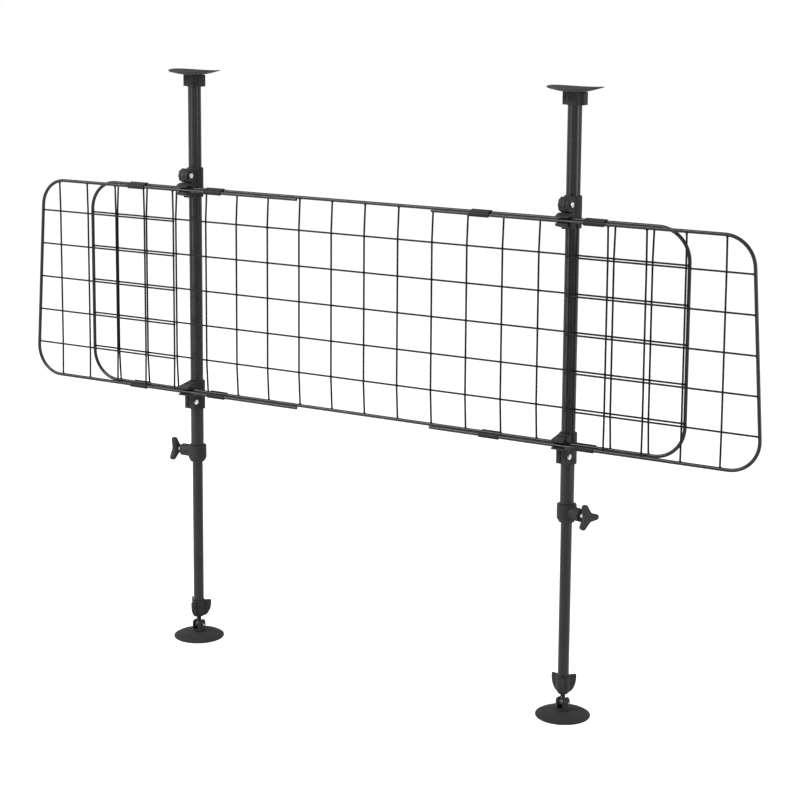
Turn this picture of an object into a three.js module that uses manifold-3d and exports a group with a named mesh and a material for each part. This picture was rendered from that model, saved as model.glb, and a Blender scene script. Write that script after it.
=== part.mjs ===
// Car dog guard: three sliding wire panels on two telescopic clamping posts.
// Millimetres, +Z up. The origin is on the floor, midway between the two posts.
// X runs along the panels and -Y looks into the boot, where the dog is.

import * as THREE from 'three';
import { mergeVertices } from 'three/addons/utils/BufferGeometryUtils.js';
import Module from 'manifold-3d';

const wasm = await Module();
wasm.setup();

// Fits shared by all pieces
const seat_gap = 0.3;
const overrun = 2;

// Posts
const upper_tube_diameter = 21.3;
const tube_wall = 1.2;
const tube_play = 0.85;
const upper_tube_bottom = 309;
const upper_tube_top = 945;
const lower_tube_length = 500;

// Each post stands in a cell of the centre mesh, counted from the middle upright
const post_cell = 5;
const post_cell_share = 0.675;

// The panels rest at this share of the free room between the height collars and the top hubs
const panel_rest_share = 0.3189;

// Panels
const rail_diameter = 5;
const upright_diameter = 2.5;
const level_diameter = 2.2;
const weld_sink = 0.35;
const panel_height = 335;
const centre_half_width = 535;
const centre_end_gap = 55;
const centre_corner_radius = 48;
const centre_upright_count = 17;
const level_count = 5;
const first_level_rise = 54;
const last_level_fall = 52.2;
const mesh_gap = 1.1;
const wing_rail_step = 8;
const wing_drop = 2.5;
const wing_length = 532;
const wing_overhang = 118.5;
const wing_end_slant = 21;
const wing_corner_radius = 46;
const wing_upright_count = 5;
const wing_joggle = 1.2;
const left_wing_end_gap = 54.9;
const right_wing_end_gap = 60.9;
const left_wing_post_gap = 22.1;
const right_wing_post_gap = 11.3;

// Rail clips, placed by shares of the free rail outside and inside the posts
const clip_wall = 1.2;
const clip_play = 0.4;
const clip_length = 33;
const clip_lip = 1.3;
const clip_corner_share = 0.8;
const outer_clip_shares = { left_top: 0.659, left_bottom: 0.659, right_top: 0.2045, right_bottom: 0.1057 };
const inner_clip_shares = { left_top: 0.829, left_bottom: 0.8117, right_top: 0.3742, right_bottom: 0.4951 };

// Pads and top hubs
const pad_diameter = 84;
const foot_pad_edge = 1.6;
const foot_pad_height = 8.8;
const foot_pad_dome_shares = [[0.86, 0.52], [0.62, 0.8], [0.34, 1]];
const top_pad_thickness = 2.4;
const top_pad_rise = 6.8;
const top_pad_seat_diameter = 30;
const top_pad_middle_share = 0.42;
const top_pad_edge_share = 0.5;
const top_pad_floor_share = 0.8;
const hub_wall = 2.35;
const hub_side_rib = 4.2;
const hub_front_rib = 0.2;
const hub_rib_width = 14;
const hub_height = 19;
const hub_socket_depth = 14.5;

// Foot: forked hub, pin, stud, wing nut and insert
const foot_hub_diameter = 22;
const foot_hub_height = 19;
const foot_hub_shoulder = 5.5;
const foot_hub_inset_share = 0.25;
const foot_hub_fall_share = 0.35;
const fork_base = 3.5;
const pin_rise = 10.9;
const pin_diameter = 4;
const pin_length = 20.8;
const stud_diameter = 8;
const stud_eye = 5.5;
const stud_lap = 44;
const nut_clearance = 6.9;
const nut_floor = 13;
const nut_height = 28;
const nut_wall = 1.9;
const nut_waist_wall = 2.2;
const nut_waist_share = 0.3;
const nut_reach = 21;
const nut_wing_count = 3;
const nut_wing_thickness = 5;
const nut_wing_root_share = 0.05;
const nut_wing_sweep = 69;
const left_nut_turn = 34;
const right_nut_turn = 48;
const insert_length = 30;

// Height collar, clamp shoe, screw and knob
const collar_floor = 4;
const collar_height = 27.5;
const collar_wall = 4.05;
const collar_foot_wall = 3.1;
const collar_taper = 6;
const boss_diameter = 20;
const boss_length = 16;
const screw_rise = 15.5;
const clamp_screw_diameter = 7;
const shoe_diameter = 7.4;
const shoe_thickness = 3;
const clamp_knob_stand_off = 6;
const clamp_knob_thickness = 10;
const clamp_knob_reach = 21.5;
const clamp_knob_arms = 3;
const clamp_knob_arm_width = 9;
const clamp_knob_waist_radius = 8.5;
const screw_grip_share = 0.7;
const left_boss_turn = 0;
const right_boss_turn = -18;
const left_clamp_knob_turn = -10;
const right_clamp_knob_turn = -8;

// Rail brackets
const sleeve_wall = 2.5;
const sleeve_length = 47;
const upper_sleeve_top = 31;
const spine_depth = 8.35;
const spine_left = 8;
const spine_right = 9;
const jaw_overhang = 2.8;
const jaw_left = 10.5;
const jaw_right = 9.5;
const jaw_play = 0.4;
const far_jaw_tip = 4.3;
const wedge_tip = 2.8;
const wedge_height = 6.2;
const wedge_flat = 8;
const plate_height = 4.2;
const plate_tip_share = 0.6;
const knob_diameter = 23;
const knob_lobes = 8;
const knob_lobe_depth = 1.1;
const knob_left = 7.5;
const knob_clearance = 0.4;
const knob_room = 1.05;
const cheek_left = 4.4;
const cheek_diameter = 22;
const bolt_diameter = 6;
const bolt_head_width = 9;
const bolt_head_height = 3;
const bolt_end = 1.2;
const lower_bolt_diameter = 5;
const lower_bolt_inset = 3.75;
const lower_bolt_drop = 21.5;
const lower_block_drop = 33;
const side_cheek_left = 9.5;
const side_cheek_right = 2.4;
const split_gap = 0.9;

// Guide bush on the lower tube
const bush_plug_length = 18;
const bush_flange = 4;

// Tubes, posts and wings, worked out
const upper_radius = upper_tube_diameter / 2;
const upper_bore = upper_radius - tube_wall;
const lower_radius = upper_bore - tube_play;
const lower_bore = lower_radius - tube_wall;
const collar_bottom = upper_tube_bottom - collar_floor;
const collar_top = collar_bottom + collar_height;
const hub_bottom = upper_tube_top - hub_socket_depth;
const hub_top = hub_bottom + hub_height;
const screw_height = collar_bottom + screw_rise;
const centre_pitch = (centre_half_width - centre_end_gap) / ((centre_upright_count - 1) / 2);
const post_reach = (post_cell + post_cell_share) * centre_pitch;
const wing_end_reach = centre_half_width + wing_overhang;
const wing_tip_reach = wing_end_reach - wing_length;

// Foot, worked out from the floor upwards
const foot_hub_bottom = foot_pad_height + seat_gap;
const foot_hub_top = foot_hub_bottom + foot_hub_height;
const fork_floor = foot_hub_bottom + fork_base;
const pin_height = foot_hub_bottom + pin_rise;
const nut_bottom = foot_hub_top + nut_clearance;
const nut_top = nut_bottom + nut_height;
const lower_tube_bottom = nut_bottom + nut_floor;
const lower_tube_top = lower_tube_bottom + lower_tube_length;

// Brackets, worked out from the post's axis
const sleeve_bore = upper_radius + seat_gap;
const sleeve_radius = sleeve_bore + sleeve_wall;
const rail_radius = rail_diameter / 2;
const spine_front = -sleeve_radius - spine_depth;
const rail_offset = -spine_front + jaw_play + rail_radius;
const jaw_reach = rail_offset + wing_rail_step + rail_radius + jaw_overhang;
const jaw_root = rail_radius + jaw_play + wedge_height;
const knob_offset = sleeve_radius + knob_diameter / 2 + knob_room;
const knob_rise = jaw_root + knob_diameter / 2 + knob_clearance;
const lower_bolt_offset = sleeve_radius + lower_bolt_inset;

// Heights and depths of the panels' rails
const lower_bracket_drop = wing_drop + rail_radius + upper_sleeve_top;
const bracket_span = lower_bracket_drop + panel_height + upper_sleeve_top;
const panel_room = hub_bottom - collar_top - bracket_span;
const panel_base = collar_top + panel_room * panel_rest_share + lower_bracket_drop;
const centre_y = -rail_offset;
const wing_y = centre_y - wing_rail_step;
const centre_bottom = panel_base;
const centre_top = panel_base + panel_height;
const wing_bottom = centre_bottom - wing_drop;
const wing_top = centre_top - wing_drop;

// Materials
const paint = new THREE.MeshStandardMaterial({ color: 0x1b1c1d, roughness: 0.42, metalness: 0.3 });
const plastic = new THREE.MeshStandardMaterial({ color: 0x232425, roughness: 0.62, metalness: 0.0 });
const rubber = new THREE.MeshStandardMaterial({ color: 0x2b2c2d, roughness: 0.85, metalness: 0.0 });
const steel = new THREE.MeshStandardMaterial({ color: 0xb8babd, roughness: 0.3, metalness: 1.0 });
const dark_steel = new THREE.MeshStandardMaterial({ color: 0x2a2b2c, roughness: 0.4, metalness: 0.8 });

// Vertices and steps nearer than this are one
const tolerance = 1e-4;

// Turns a closed three.js geometry into a solid that can be joined and cut
function solid(geometry) {
  const bare = geometry.clone();
  bare.deleteAttribute('normal');
  bare.deleteAttribute('uv');
  const merged = mergeVertices(bare, tolerance);
  const index = merged.index.array;
  const kept = [];
  for (let i = 0; i < index.length; i += 3) {
    const [a, b, c] = [index[i], index[i + 1], index[i + 2]];
    if (a !== b && b !== c && c !== a) kept.push(a, b, c);
  }
  const mesh = new wasm.Mesh({
    numProp: 3,
    vertProperties: new Float32Array(merged.attributes.position.array),
    triVerts: new Uint32Array(kept),
  });
  return new wasm.Manifold(mesh);
}

// Turns a solid back into a three.js geometry
function surface(body) {
  const mesh = body.getMesh();
  const geometry = new THREE.BufferGeometry();
  geometry.setAttribute('position', new THREE.BufferAttribute(mesh.vertProperties, 3));
  geometry.setIndex(new THREE.BufferAttribute(mesh.triVerts, 1));
  geometry.computeVertexNormals();
  return geometry;
}

function joined(bodies) {
  return bodies.reduce((all, body) => all.add(body));
}

function cut(body, tools) {
  return tools.reduce((rest, tool) => rest.subtract(tool), body);
}

// A box from its lowest to its highest corner
function block(low, high) {
  const size = high.map((value, i) => value - low[i]);
  const geometry = new THREE.BoxGeometry(...size);
  geometry.translate(...low.map((value, i) => value + size[i] / 2));
  return solid(geometry);
}

// An upright cylinder from one height to another
function upright(radius, bottom, top, sides = 24) {
  const geometry = new THREE.CylinderGeometry(radius, radius, top - bottom, sides);
  geometry.rotateX(Math.PI / 2);
  geometry.translate(0, 0, (bottom + top) / 2);
  return solid(geometry);
}

// A cylinder along X between two places, at a given depth and height
function crosswise(radius, left, right, y, z, sides = 16) {
  const geometry = new THREE.CylinderGeometry(radius, radius, right - left, sides);
  geometry.rotateZ(Math.PI / 2);
  geometry.translate((left + right) / 2, y, z);
  return solid(geometry);
}

// A solid turned about the post axis from [radius, height] pairs that end on the axis
function turned(profile, sides = 28) {
  const points = profile.map(([radius, height]) => new THREE.Vector2(radius, height));
  const geometry = new THREE.LatheGeometry(points, sides);
  geometry.rotateX(Math.PI / 2);
  return solid(geometry);
}

// An outline in depth and height, drawn out along X
function drawn_along_x(outline, left, right) {
  const shape = new THREE.Shape(outline.map(([y, z]) => new THREE.Vector2(y, z)));
  const geometry = new THREE.ExtrudeGeometry(shape, { depth: right - left, bevelEnabled: false });
  geometry.rotateX(Math.PI / 2);
  geometry.rotateZ(Math.PI / 2);
  geometry.translate(left, 0, 0);
  return solid(geometry);
}

// A wire through given points, with its section turned square to the path
class WirePath extends THREE.Curve {
  constructor(points) {
    super();
    this.points = points;
  }
  getPoint(t, target = new THREE.Vector3()) {
    const last = this.points.length - 1;
    const place = Math.min(t * last, last);
    const index = Math.min(Math.floor(place + tolerance), last - 1);
    return target.lerpVectors(this.points[index], this.points[index + 1], place - index);
  }
  getPointAt(u, target) {
    return this.getPoint(u, target);
  }
  getSpacedPoints(count) {
    return Array.from({ length: count + 1 }, (_, i) => this.getPoint(i / count));
  }
  getTangentAt(u) {
    const last = this.points.length - 1;
    const index = Math.round(u * last);
    const before = this.points[Math.max(index - 1, 0)];
    const here = this.points[index];
    const after = this.points[Math.min(index + 1, last)];
    const arrive = here.clone().sub(before).normalize();
    const leave = after.clone().sub(here).normalize();
    return arrive.add(leave).normalize();
  }
}

function wire(points, diameter, sides) {
  const path = new WirePath(points.map((point) => new THREE.Vector3(...point)));
  const corners = Array.from({ length: sides }, (_, i) => {
    const angle = ((i + 0.5) * 2 * Math.PI) / sides;
    return new THREE.Vector2(Math.cos(angle), Math.sin(angle)).multiplyScalar(diameter / 2);
  });
  const options = { steps: points.length - 1, extrudePath: path, bevelEnabled: false };
  return solid(new THREE.ExtrudeGeometry(new THREE.Shape(corners), options));
}

// Points of a bend in the panel's plane, from one heading angle to another
const bend_steps = 8;

function bend(x, z, y, radius, from, to) {
  return Array.from({ length: bend_steps + 1 }, (_, i) => {
    const angle = from + ((to - from) * i) / bend_steps;
    return [x + radius * Math.cos(angle), y, z + radius * Math.sin(angle)];
  });
}

// Wires of the meshes: each centre upright stands clear of the wings' uprights
const upright_radius = upright_diameter / 2;
const level_radius = level_diameter / 2;
const centre_joggle = wing_rail_step - wing_joggle - upright_diameter - mesh_gap;
const level_pitch = (panel_height - first_level_rise - last_level_fall) / (level_count - 1);

// Centre frame: a closed loop made of two halves that meet on the rails
function centre_frame() {
  const inner = centre_half_width - centre_corner_radius;
  const low = centre_bottom + centre_corner_radius;
  const high = centre_top - centre_corner_radius;
  const r = centre_corner_radius;
  const lap = rail_diameter;
  const right_half = [
    [-lap, centre_y, centre_bottom],
    ...bend(inner, low, centre_y, r, -Math.PI / 2, 0),
    ...bend(inner, high, centre_y, r, 0, Math.PI / 2),
    [-lap, centre_y, centre_top],
  ];
  const left_half = right_half.map(([x, y, z]) => [-x, y, z]);
  return joined([wire(right_half, rail_diameter, 12), wire(left_half, rail_diameter, 12)]);
}

// Where the bends of a wing's frame start on its bottom and top rails
const lean = Math.atan2(wing_end_slant, panel_height);
const wing_low_bend = wing_end_reach - wing_corner_radius * Math.tan((Math.PI / 2 + lean) / 2);
const wing_high_bend = wing_end_reach - wing_end_slant
  - wing_corner_radius * Math.tan((Math.PI / 2 - lean) / 2);

// Wing frame: a U with a slanted end, for the wing whose outer end is at -X or +X
function wing_frame(side) {
  const r = wing_corner_radius;
  const points = [
    [wing_tip_reach, wing_y, wing_bottom],
    ...bend(wing_low_bend, wing_bottom + r, wing_y, r, -Math.PI / 2, lean),
    ...bend(wing_high_bend, wing_top - r, wing_y, r, lean, Math.PI / 2),
    [wing_tip_reach, wing_y, wing_top],
  ];
  return wire(points.map(([x, y, z]) => [side * x, y, z]), rail_diameter, 12);
}

// How far a bend has lifted a rail at a place beyond the bend's start
function bend_rise(place, start, radius, span) {
  const step = span / bend_steps;
  let rise = 0;
  for (let i = 1; i * step < Math.PI / 2; i += 1) {
    const near = radius * Math.sin((i - 1) * step);
    const far = radius * Math.sin(i * step);
    const share = Math.min(Math.max((place - start - near) / (far - near), 0), 1);
    rise += share * radius * (Math.cos((i - 1) * step) - Math.cos(i * step));
  }
  return rise;
}

// One upright wire: it leaves each rail in the rail's plane and steps sideways to the mesh's plane
function upright_wire(x, rail_y, mesh_y, bottom, top, low_rise = 0, high_fall = 0) {
  const reach = rail_radius + seat_gap;
  const points = [
    [x, rail_y, bottom + low_rise + reach],
    [x, mesh_y, bottom + first_level_rise - level_diameter],
    [x, mesh_y, top - last_level_fall + level_diameter],
    [x, rail_y, top - high_fall - reach],
  ];
  return wire(points, upright_diameter, 6);
}

function level_heights(bottom) {
  return Array.from({ length: level_count }, (_, i) => bottom + first_level_rise + i * level_pitch);
}

// Centre mesh: the level wires lie behind the uprights
function centre_mesh() {
  const mesh_y = centre_y - centre_joggle;
  const level_y = mesh_y + upright_radius + level_radius - weld_sink;
  const half = ((centre_upright_count - 1) / 2) * centre_pitch;
  const reach = centre_half_width - rail_radius - seat_gap;
  const bend_start = centre_half_width - centre_corner_radius;
  const wires = [];
  for (let i = 0; i < centre_upright_count; i += 1) {
    const x = i * centre_pitch - half;
    const edge = Math.abs(x) + upright_radius;
    const rise = bend_rise(edge, bend_start, centre_corner_radius, Math.PI / 2);
    wires.push(upright_wire(x, centre_y, mesh_y, centre_bottom, centre_top, rise, rise));
  }
  for (const z of level_heights(centre_bottom)) {
    wires.push(wire([[-reach, level_y, z], [reach, level_y, z]], level_diameter, 6));
  }
  return joined(wires);
}

// Where the slanted end of a wing's frame stands at a height
function wing_end_at(z) {
  return wing_end_reach - (wing_end_slant * (z - wing_bottom)) / panel_height;
}

// Wing mesh: the level wires lie in front of the uprights and stop on the last one, beside the post
function wing_mesh(side, end_gap, post_gap) {
  const mesh_y = wing_y + wing_joggle;
  const level_y = mesh_y - upright_radius - level_radius + weld_sink;
  const first = wing_end_reach - end_gap;
  const last = post_reach + post_gap;
  const pitch = (first - last) / (wing_upright_count - 1);
  const wires = [];
  for (let i = 0; i < wing_upright_count; i += 1) {
    const reach = first - i * pitch;
    const edge = reach + upright_radius;
    const low_rise = bend_rise(edge, wing_low_bend, wing_corner_radius, Math.PI / 2 + lean);
    const high_fall = bend_rise(edge, wing_high_bend, wing_corner_radius, Math.PI / 2 - lean);
    wires.push(upright_wire(side * reach, wing_y, mesh_y, wing_bottom, wing_top, low_rise, high_fall));
  }
  for (const z of level_heights(wing_bottom)) {
    const outer = wing_end_at(z) - rail_radius - seat_gap;
    const ends = [[side * (last - level_diameter), level_y, z], [side * outer, level_y, z]];
    wires.push(wire(ends, level_diameter, 6));
  }
  return joined(wires);
}

// Where a clip's middle may lie: outside the posts up to the bend, or between the posts and the prongs' tips
const clip_room = spine_right + seat_gap + bolt_head_height + clip_length / 2;
const outer_clip_first = post_reach + clip_room;
const outer_clip_last = centre_half_width - centre_corner_radius - clip_length / 2;
const inner_clip_first = wing_tip_reach + clip_length / 2;
const inner_clip_last = post_reach - clip_room;

function outer_clip_reach(share) {
  return outer_clip_first + (outer_clip_last - outer_clip_first) * share;
}

function inner_clip_reach(share) {
  return inner_clip_first + (inner_clip_last - inner_clip_first) * share;
}

// Rail clip: a band bent round the two rails, open on the side of the mesh
function rail_clip(reach, side, is_top) {
  const play = rail_radius + clip_play;
  const front = wing_y - play;
  const back = centre_y + play;
  const rail_z = is_top ? centre_top : centre_bottom;
  const high = rail_z + play;
  const low = rail_z - wing_drop - play;
  const left = side * reach - clip_length / 2;
  const right = side * reach + clip_length / 2;
  const corner = play * clip_corner_share;
  const outer = rounded_outline([front, low], [back, high], corner, clip_wall);
  const inner = rounded_outline([front, low], [back, high], corner, 0);
  const hollow = drawn_along_x(inner, left - overrun, right + overrun);
  const slot_low = is_top ? low - clip_wall - overrun : rail_z;
  const slot_high = is_top ? rail_z - wing_drop : high + clip_wall + overrun;
  const slot_front = front + clip_lip;
  const slot_back = back - clip_lip;
  const slot = block([left - overrun, slot_front, slot_low], [right + overrun, slot_back, slot_high]);
  return cut(drawn_along_x(outer, left, right), [hollow, slot]);
}

// A rectangle with rounded corners from its lowest to its highest corner, grown outwards by a wall
function rounded_outline([left, bottom], [right, top], corner, wall) {
  const centres = [
    [right - corner, bottom + corner, -Math.PI / 2],
    [right - corner, top - corner, 0],
    [left + corner, top - corner, Math.PI / 2],
    [left + corner, bottom + corner, Math.PI],
  ];
  const radius = corner + wall;
  const outline = [];
  for (const [x, y, start] of centres) {
    for (let i = 0; i <= 3; i += 1) {
      const angle = start + (i * Math.PI) / 6;
      outline.push([x + radius * Math.cos(angle), y + radius * Math.sin(angle)]);
    }
  }
  return outline;
}

// The two ends, from left to right, of a stretch on one side of the post's axis
function between(side, near, far) {
  return [Math.min(side * near, side * far), Math.max(side * near, side * far)];
}

// The way of the clamp shoe, from the post's axis outwards
function shoe_way(side, far) {
  const [left, right] = between(side, 0, far + overrun);
  return crosswise(shoe_diameter / 2 + seat_gap, left, right, 0, screw_height, 12);
}

// Upper tube, with the hole that lets the clamp shoe through
function upper_tube(side) {
  const shell = upright(upper_radius, upper_tube_bottom, upper_tube_top, 28);
  const bore = upright(upper_bore, upper_tube_bottom - overrun, upper_tube_top + overrun, 28);
  return cut(shell, [bore, shoe_way(side, upper_radius)]);
}

function lower_tube() {
  const shell = upright(lower_radius, lower_tube_bottom, lower_tube_top, 24);
  const bore = upright(lower_bore, lower_tube_bottom - overrun, lower_tube_top + overrun, 24);
  return cut(shell, [bore]);
}

// Guide bush: a plug in the lower tube's top end, with a flange that runs in the upper tube
function tube_bush() {
  const plug_radius = lower_bore - seat_gap;
  const flange_radius = upper_bore - seat_gap;
  const flange_bottom = lower_tube_top + seat_gap;
  return turned([
    [0, flange_bottom - bush_plug_length],
    [plug_radius, flange_bottom - bush_plug_length],
    [plug_radius, flange_bottom],
    [flange_radius, flange_bottom],
    [flange_radius, flange_bottom + bush_flange],
    [0, flange_bottom + bush_flange],
  ], 20);
}

// Top hub: a barrel with four ribs, plugged over the upper tube's end
function top_hub() {
  const radius = upper_radius + seat_gap + hub_wall;
  const half = hub_rib_width / 2;
  const wide_reach = radius + hub_side_rib;
  const deep_reach = radius + hub_front_rib;
  const barrel = upright(radius, hub_bottom, hub_top, 24);
  const wide = block([-wide_reach, -half, hub_bottom], [wide_reach, half, hub_top]);
  const deep = block([-half, -deep_reach, hub_bottom], [half, deep_reach, hub_top]);
  const socket = upright(upper_radius + seat_gap, hub_bottom - overrun, upper_tube_top + seat_gap, 28);
  return cut(joined([barrel, wide, deep]), [socket]);
}

// Top pad: a shallow rubber cup with a flat floor
function top_pad() {
  const floor = hub_top + seat_gap;
  const rim = pad_diameter / 2;
  const rim_bottom = floor + top_pad_rise;
  const seat = top_pad_seat_diameter / 2;
  const middle = (rim + seat) / 2;
  const middle_bottom = floor + top_pad_rise * top_pad_middle_share;
  return turned([
    [0, floor],
    [seat, floor],
    [middle, middle_bottom],
    [rim, rim_bottom],
    [rim, rim_bottom + top_pad_thickness * top_pad_edge_share],
    [middle, middle_bottom + top_pad_thickness],
    [seat * top_pad_floor_share, floor + top_pad_thickness],
    [0, floor + top_pad_thickness],
  ], 32);
}

// Foot pad: a low rubber dome with a flat underside
function foot_pad() {
  const rim = pad_diameter / 2;
  return turned([
    [0, 0],
    [rim, 0],
    [rim, foot_pad_edge],
    ...foot_pad_dome_shares.map(([across, up]) => [rim * across, foot_pad_height * up]),
    [0, foot_pad_height],
  ], 32);
}

// Foot hub: a fork with a domed top, its slot open to the front and back
function foot_hub() {
  const radius = foot_hub_diameter / 2;
  const shoulder_radius = radius - foot_hub_shoulder * foot_hub_inset_share;
  const shoulder_top = foot_hub_top - foot_hub_shoulder * foot_hub_fall_share;
  const shell = turned([
    [0, foot_hub_bottom],
    [radius, foot_hub_bottom],
    [radius, foot_hub_top - foot_hub_shoulder],
    [shoulder_radius, shoulder_top],
    [radius - foot_hub_shoulder, foot_hub_top],
    [0, foot_hub_top],
  ], 24);
  const half = stud_diameter / 2 + seat_gap;
  const far = radius + overrun;
  const slot = block([-half, -far, fork_floor], [half, far, foot_hub_top + overrun]);
  return cut(shell, [slot, pin_way()]);
}

// The way for the foot pin, through the fork and the stud's eye
function pin_way() {
  const half = foot_hub_diameter / 2 + overrun;
  return crosswise(pin_diameter / 2 + seat_gap, -half, half, 0, pin_height, 12);
}

function foot_pin() {
  return crosswise(pin_diameter / 2, -pin_length / 2, pin_length / 2, 0, pin_height, 12);
}

// Foot stud: its eye sits round the pin, and it reaches up through the nut and the insert
function foot_stud() {
  const shank = upright(stud_diameter / 2, pin_height - stud_eye, lower_tube_bottom + stud_lap, 12);
  return cut(shank, [pin_way()]);
}

// Foot wing nut: a barrel round the tube's end, with wings that are flat on top and round below
function foot_wing_nut(turn) {
  const radius = lower_radius + seat_gap + nut_wall;
  const waist = stud_diameter / 2 + seat_gap + nut_waist_wall;
  const barrel = turned([
    [0, nut_bottom],
    [waist, nut_bottom],
    [radius, nut_bottom + nut_height * nut_waist_share],
    [radius, nut_top],
    [0, nut_top],
  ], 24);
  const outline = [[0, nut_top]];
  for (let i = 0; i <= 5; i += 1) {
    const angle = ((i / 5) * nut_wing_sweep * Math.PI) / 180;
    outline.push([nut_reach * Math.cos(angle), nut_top - nut_height * Math.sin(angle)]);
  }
  outline.push([0, nut_bottom + nut_height * nut_wing_root_share]);
  const wing = drawn_along_x(outline, -nut_wing_thickness / 2, nut_wing_thickness / 2);
  const body = [barrel];
  for (let i = 0; i < nut_wing_count; i += 1) {
    body.push(wing.rotate([0, 0, turn - 90 + (i * 360) / nut_wing_count]));
  }
  const socket = upright(lower_radius + seat_gap, lower_tube_bottom - seat_gap, nut_top + overrun, 24);
  const bore = upright(stud_diameter / 2 + seat_gap, nut_bottom - overrun, nut_top, 12);
  return cut(joined(body), [socket, bore]);
}

// Foot insert: the plug in the lower tube's end that guides the stud
function foot_insert() {
  const top = lower_tube_bottom + insert_length;
  const plug = upright(lower_bore - seat_gap, lower_tube_bottom, top, 20);
  const bore = upright(stud_diameter / 2 + seat_gap, lower_tube_bottom - overrun, top + overrun, 12);
  return cut(plug, [bore]);
}

// Height collar: seats the upper tube's end and carries the clamp screw's boss
const collar_radius = upper_radius + seat_gap + collar_wall;
const boss_reach = collar_radius + boss_length;

function height_collar(side) {
  const body = turned([
    [0, collar_bottom],
    [lower_radius + seat_gap + collar_foot_wall, collar_bottom],
    [collar_radius, collar_bottom + collar_taper],
    [collar_radius, collar_top],
    [0, collar_top],
  ], 28);
  const [left, right] = between(side, 0, boss_reach);
  const boss = crosswise(boss_diameter / 2, left, right, 0, screw_height, 20);
  const upper_seat = upright(sleeve_bore, upper_tube_bottom - seat_gap, collar_top + overrun, 28);
  const lower_way = upright(lower_radius + seat_gap, collar_bottom - overrun, upper_tube_bottom, 24);
  return cut(joined([body, boss]), [upper_seat, lower_way, shoe_way(side, boss_reach)]);
}

// Clamp shoe: presses on the lower tube through the hole in the upper tube
const shoe_inner = lower_radius + seat_gap;
const shoe_outer = shoe_inner + shoe_thickness;

function clamp_shoe(side) {
  const [left, right] = between(side, shoe_inner, shoe_outer);
  return crosswise(shoe_diameter / 2, left, right, 0, screw_height, 12);
}

// Clamp screw: drives the shoe, and its outer end is held in the clamp knob's hub
const clamp_knob_inner = boss_reach + clamp_knob_stand_off;
const screw_outer = clamp_knob_inner + clamp_knob_thickness * screw_grip_share;

function clamp_screw(side) {
  const [left, right] = between(side, shoe_outer + seat_gap, screw_outer);
  return crosswise(clamp_screw_diameter / 2, left, right, 0, screw_height, 12);
}

// Clamp knob: rounded arms that widen towards the hub
function clamp_knob(side, turn) {
  const arm = clamp_knob_arm_width / 2;
  const waist = clamp_knob_waist_radius;
  const outline = [];
  for (let i = 0; i < clamp_knob_arms; i += 1) {
    const angle = (turn * Math.PI) / 180 + (i * 2 * Math.PI) / clamp_knob_arms;
    for (let j = -2; j <= 2; j += 1) {
      const round = angle + (j * Math.PI) / 4;
      const y = (clamp_knob_reach - arm) * Math.cos(angle) + arm * Math.cos(round);
      const z = (clamp_knob_reach - arm) * Math.sin(angle) + arm * Math.sin(round);
      outline.push([y, screw_height + z]);
    }
    const valley = angle + Math.PI / clamp_knob_arms;
    outline.push([waist * Math.cos(valley), screw_height + waist * Math.sin(valley)]);
  }
  const [left, right] = between(side, clamp_knob_inner, clamp_knob_inner + clamp_knob_thickness);
  const [near, far] = between(side, clamp_knob_inner - overrun, screw_outer + seat_gap);
  const bore = crosswise(clamp_screw_diameter / 2 + seat_gap, near, far, 0, screw_height, 12);
  return cut(drawn_along_x(outline, left, right), [bore]);
}

// The way for the post through a bracket's sleeve and all that stands on it
function post_way(low, high) {
  return upright(sleeve_bore, low - overrun, high + overrun, 28);
}

// Upper bracket body: its far jaw passes under the top rails and its cheek stands beside the knob
function upper_bracket_body() {
  const rail_z = centre_top;
  const high = rail_z + upper_sleeve_top;
  const low = high - sleeve_length;
  const under = rail_z - wing_drop - rail_radius - jaw_play;
  const sleeve = upright(sleeve_radius, low, high, 28);
  const spine = block([-spine_left, spine_front, low], [spine_right, 0, rail_z + jaw_root]);
  const jaw = drawn_along_x([
    [0, under],
    [-jaw_reach, under],
    [-jaw_reach, under - far_jaw_tip],
    [-sleeve_bore, low],
    [0, low],
  ], -jaw_left, jaw_right);
  const bolt_z = rail_z + knob_rise;
  const cheek = crosswise(cheek_diameter / 2, cheek_left, spine_right, -knob_offset, bolt_z, 20);
  const web = block([cheek_left, -knob_offset, rail_z + jaw_root], [spine_right, 0, high]);
  const root = block([cheek_left, spine_front, rail_z], [spine_right, 0, high - overrun]);
  const near = cheek_left - overrun;
  const far = spine_right + overrun;
  const bolt_way = crosswise(bolt_diameter / 2 + seat_gap, near, far, -knob_offset, bolt_z, 12);
  const body = joined([sleeve, spine, jaw, cheek, web, root]);
  return cut(body, [post_way(low, high), bolt_way]);
}

// Wedge jaw: lies on the top rails below the knob
function wedge_jaw() {
  const bottom = centre_top + rail_radius + jaw_play;
  const back = spine_front - seat_gap;
  return drawn_along_x([
    [back, bottom],
    [back, bottom + wedge_height - seat_gap],
    [-jaw_reach + wedge_flat, bottom + wedge_height - seat_gap],
    [-jaw_reach, bottom + wedge_tip],
    [-jaw_reach, bottom],
  ], -jaw_left, jaw_right);
}

// Bracket knob: a lobed wheel on the bolt
function bracket_knob() {
  const outline = [];
  const steps = knob_lobes * 5;
  const mean = knob_diameter / 2 - knob_lobe_depth / 2;
  const height = centre_top + knob_rise;
  for (let i = 0; i < steps; i += 1) {
    const angle = (i * 2 * Math.PI) / steps;
    const radius = mean + (knob_lobe_depth / 2) * Math.cos(knob_lobes * angle);
    outline.push([radius * Math.cos(angle) - knob_offset, radius * Math.sin(angle) + height]);
  }
  const right = cheek_left - seat_gap;
  const wheel = drawn_along_x(outline, -knob_left, right);
  const near = -knob_left - overrun;
  const far = right + overrun;
  const bore = crosswise(bolt_diameter / 2 + seat_gap, near, far, -knob_offset, height, 12);
  return cut(wheel, [bore]);
}

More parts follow.
